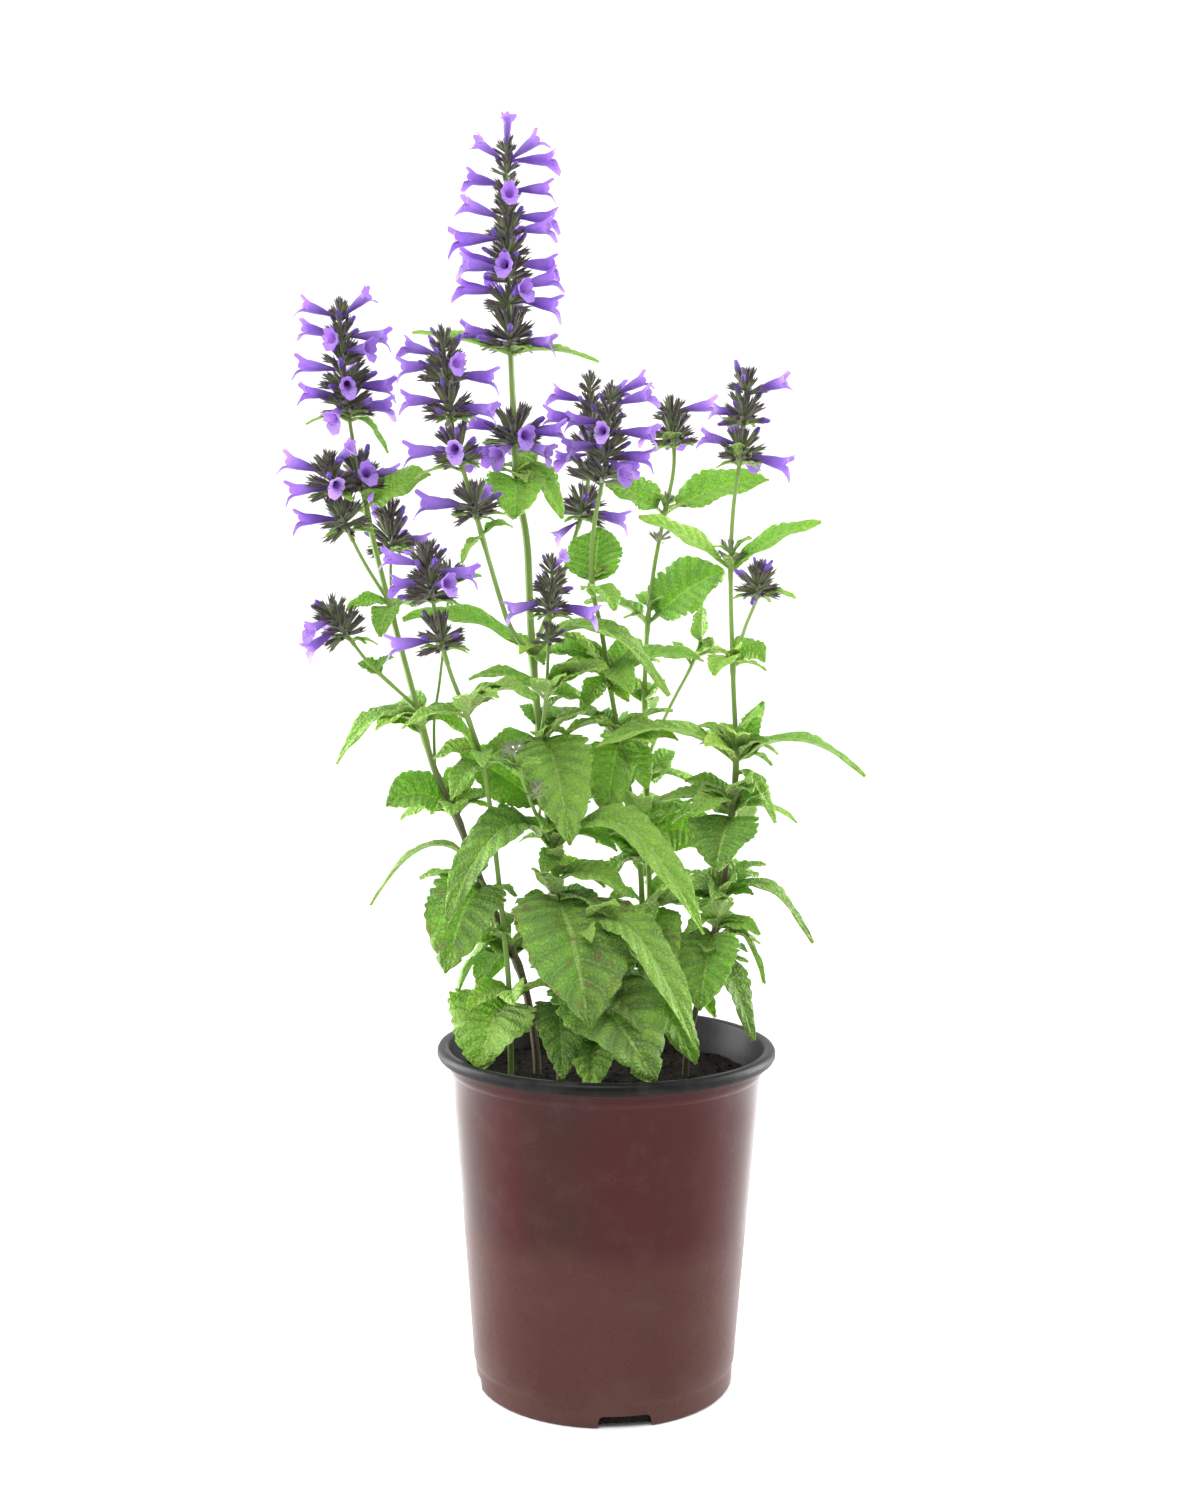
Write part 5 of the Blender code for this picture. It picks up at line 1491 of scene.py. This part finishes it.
for name, (line, low, high, rings, flowers, bracts) in HEADS.items():
    count = max(FEWEST_STEPS, round((high - low) * MM / STALK_STEP))
    heights = [(low + (high - 2 - low) * k / count) * MM for k in range(count + 1)]
    points = [at_height(line, z)[0] for z in heights]
    foot = AXIS_RADIUS * (1.7 if line is TALL else 1.2)
    taper = [foot + (0.6 * AXIS_RADIUS - foot) * k / count for k in range(count + 1)]
    piece = shown(name.replace("head", "axis"), points, edges=[(k, k + 1) for k in range(count)])
    marked(piece, thick=taper, purple=[AXIS_PURPLE] * (count + 1))
    grow(piece, stalks, Section=section, Material=stem_skin)
    smooth(piece, 60)
    # The first number of each bract's look is its painted light
    leaves = []
    for height, reach, arch, width, turn in bracts:
        root, _ = at_height(line, height * MM)
        look = (0.55, 0.3, chance.random())
        leaves.append((root, Vector(reach) * MM, arch * MM, width * MM * BRACT_WIDER, turn, look))
    for z, size, lower, upper in rings:
        if lower > WHORL_LEVEL or size < 0.8:
            continue
        for bearing in BRACT_BEARINGS:
            root, _ = at_height(line, (z - 4) * MM)
            angle = math.radians(bearing + chance.uniform(-22, 22))
            length = chance.uniform(10.0, 15.0) * MM * size
            reach = Vector((math.cos(angle), math.sin(angle), chance.uniform(-0.2, 0.25))) * length
            look = (chance.uniform(0.2, 0.6), 0.5, chance.random())
            leaves.append((root, reach, 1.5 * MM, length * 0.40, 10, look))
    grown = [piece]
    if leaves:
        grown.append(grow_leaves(name.replace("head", "bracts"), leaves))
    for piece in grown:
        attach(piece, "root")
        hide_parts(name)
bpy.data.objects.remove(section)
for least, model in BLADES:
    bpy.data.objects.remove(model)


# The corollas
#
# Violet flowers stand out of the calyces: a narrow tube that widens to a throat, an upper lip of two lobes
# that point forward, and a broad, notched lower lip that dips. Closed buds show between the calyces.

COROLLA_LENGTH = 27.0 * MM
TUBE_LENGTH = 19.0 * MM
TUBE_ROWS = ((0.0, 0.8), (0.28, 0.95), (0.46, 1.5), (0.66, 2.3), (0.86, 2.9), (1.0, 3.1))
TUBE_SAG = 1.0 * MM
THROAT_WIDTH = 0.82
LIP_ROWS = 5
COROLLA_SIDES = 30
PETAL_THICK = 0.3 * MM
BUD_SIDES = 6
LIP_CUP = 2.2
LIP_WAVE = 0.30
LOWER = 270.0
# A lobe is (bearing round the mouth, half its width there, length, flare at its root and its tip, spread)
LOBES = (
    (62.0, 28.0, 6.8, 8.0, 20.0, 0.9), (118.0, 28.0, 6.8, 8.0, 20.0, 0.9),
    (4.0, 30.0, 4.2, 14.0, 40.0, 0.8), (176.0, 30.0, 4.2, 14.0, 40.0, 0.8),
    (LOWER, 64.0, 8.4, 4.0, 44.0, 3.6),
)
VIOLET = (0.240, 0.140, 0.520)
VIOLET_DEEP = (0.100, 0.042, 0.270)
VIOLET_PALE = (0.380, 0.275, 0.660)
THROAT_PALE = (0.370, 0.260, 0.660)


def lip_place(angle, share):
    """Where a lip's surface is, from the mouth (0) to its edge (1), as (right, up, forward)."""
    mouth = TUBE_ROWS[-1][1] * MM

    def offset(lobe):
        return (math.degrees(angle) - lobe[0] + 180.0) % 360.0 - 180.0

    lobe = min(LOBES, key=lambda one: abs(offset(one)) / one[1])
    bearing, half, length, flare, curl, spread = lobe
    aside = offset(lobe) / half
    centre = math.radians(bearing)
    rounded = math.sqrt(max(0.0, 1 - min(1.0, abs(aside)) ** 3.2))
    if bearing == LOWER:
        middle_notch = 0.16 * math.exp(-((aside / 0.16) ** 2))
        side_notches = 0.22 * math.exp(-(((abs(aside) - 0.62) / 0.12) ** 2))
        rounded *= 1 - middle_notch - side_notches
    reach = length * MM * share * (0.15 + 0.85 * rounded)
    tilt = math.radians(flare + (curl - flare) * share)
    radial = Vector((math.cos(centre), math.sin(centre), 0.0))
    square = Vector((-math.sin(centre), math.cos(centre), 0.0))
    place = Vector((mouth * math.cos(angle), mouth * math.sin(angle), 0.0))
    place += square * aside * spread * MM * math.sin(math.pi * 0.62 * share)
    place += radial * reach * math.sin(tilt)
    place.z += reach * math.cos(tilt)
    if bearing == LOWER:
        place -= radial * LIP_CUP * MM * aside**2 * share
        place.z += LIP_WAVE * MM * math.cos(9 * aside) * share**2
    return place


def corolla():
    """One corolla along +Z with its upper lip towards +Y, 1 long and closed at its foot."""
    points = []
    along = []
    lip_mark = []
    for row in range(len(TUBE_ROWS) + LIP_ROWS):
        for k in range(COROLLA_SIDES):
            angle = 2 * math.pi * k / COROLLA_SIDES
            if row < len(TUBE_ROWS):
                share, radius = TUBE_ROWS[row]
                place = Vector((math.cos(angle), math.sin(angle), 0.0)) * radius * MM
                place.z = share * TUBE_LENGTH
                along.append(0.65 * share)
                lip_mark.append(0.0)
            else:
                share = (row - len(TUBE_ROWS) + 1) / LIP_ROWS
                place = lip_place(angle, share)
                place.z += TUBE_LENGTH
                along.append(0.65 + 0.35 * share)
                lip_mark.append(share * max(0.0, -math.sin(angle)))
            forward = min(1.0, place.z / TUBE_LENGTH)
            place.x *= 1 + (THROAT_WIDTH - 1) * forward
            place.y -= TUBE_SAG * forward**2
            points.append(place / COROLLA_LENGTH)
    faces = tube_faces(len(TUBE_ROWS) + LIP_ROWS, COROLLA_SIDES)
    made = marked(shown("corolla", points, faces), along=along, lip=lip_mark)
    wall = made.modifiers.new("wall", "SOLIDIFY")
    wall.thickness = PETAL_THICK / COROLLA_LENGTH
    wall.offset = -1.0
    set_modifiers(made)
    return marked(made, inner=[float(k >= len(points)) for k in range(len(made.data.vertices))])


def bud():
    """A closed corolla that just shows above its calyx, along +Z."""
    points = []
    for z, radius in BUD_RADII:
        for k in range(BUD_SIDES):
            angle = 2 * math.pi * k / BUD_SIDES
            points.append((radius * math.cos(angle), radius * math.sin(angle), z))
    faces = tube_faces(len(BUD_RADII), BUD_SIDES) + [tuple(range(len(points) - BUD_SIDES, len(points)))]
    flat = [0.0] * len(points)
    return marked(shown("bud", points, faces), along=[0.35] * len(points), lip=flat, inner=flat)


petal, shader, place = finish("petal")
along = seen(place, "along", "Fac")
lip = seen(place, "lip", "Fac")
inner = seen(place, "inner", "Fac")
look = seen(place, "look")
fine = place.speckle(1300.0, 3.0)
patch = place.speckle(220.0, 3.0)
depth = along + (look.axis(0) - 0.5) * 0.5 + (patch - 0.5) * 0.4
colour = depth.between(0.15, 0.95).mix(VIOLET_DEEP, VIOLET)
colour = ((look.axis(1) + (patch - 0.5) * 0.5) * along).between(0.35, 1.1).mix(colour, VIOLET_PALE)
colour = (inner * along.between(1.0, 0.66) * 0.7).mix(colour, THROAT_PALE)
spots = (place.speckle(1500.0, 1.0) - 0.58).between(0.0, 0.05)
spots = spots * lip.between(0.05, 0.3) * lip.between(0.85, 0.5)
feed(
    shader,
    Base_Color=spots.mix(colour, VIOLET_DEEP),
    Roughness=0.5 + fine * 0.2,
    Normal=bump(fine + patch, 0.35, 0.0004),
    Specular_IOR_Level=0.30,
    Sheen_Weight=0.08,
    Subsurface_Weight=0.5,
    Subsurface_Radius=(0.0020, 0.0013, 0.0030),
    Subsurface_Scale=1.0,
)

placed = placed_tree(False)
corolla_model = corolla()
bud_model = bud()
chance = random.Random(23)
for name, (line, low, high, rings, flowers, bracts) in HEADS.items():
    made = []
    for height, bearing, tilt, size in flowers:
        angle = math.radians(bearing + chance.uniform(-6, 6))
        up = math.radians(tilt + chance.uniform(-7, 7))
        aim = Vector((math.cos(angle) * math.cos(up), math.sin(angle) * math.cos(up), math.sin(up)))
        side = Vector((-math.sin(angle), math.cos(angle), 0.0))
        above = aim.cross(side)
        if above.z < 0:
            above = -above
        above = (above + side * chance.uniform(-0.45, 0.45)).normalized()
        root, _ = at_height(line, height * MM)
        look = (chance.random(), chance.random(), 0.0)
        made.append((root, aim, above, COROLLA_LENGTH * size * chance.uniform(0.92, 1.04), look))
    groups = [(made, corolla_model), (bud_places[name], bud_model)]
    groups = [
        grow_placed(name.replace("head", "corollas"), group, placed, Model=model, Material=petal)
        for group, model in groups if group
    ]
    if not groups:
        continue
    piece = joined(groups)
    smooth(piece, 50)
    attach(piece, "root")
    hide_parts(name)
bpy.data.objects.remove(corolla_model)
bpy.data.objects.remove(bud_model)
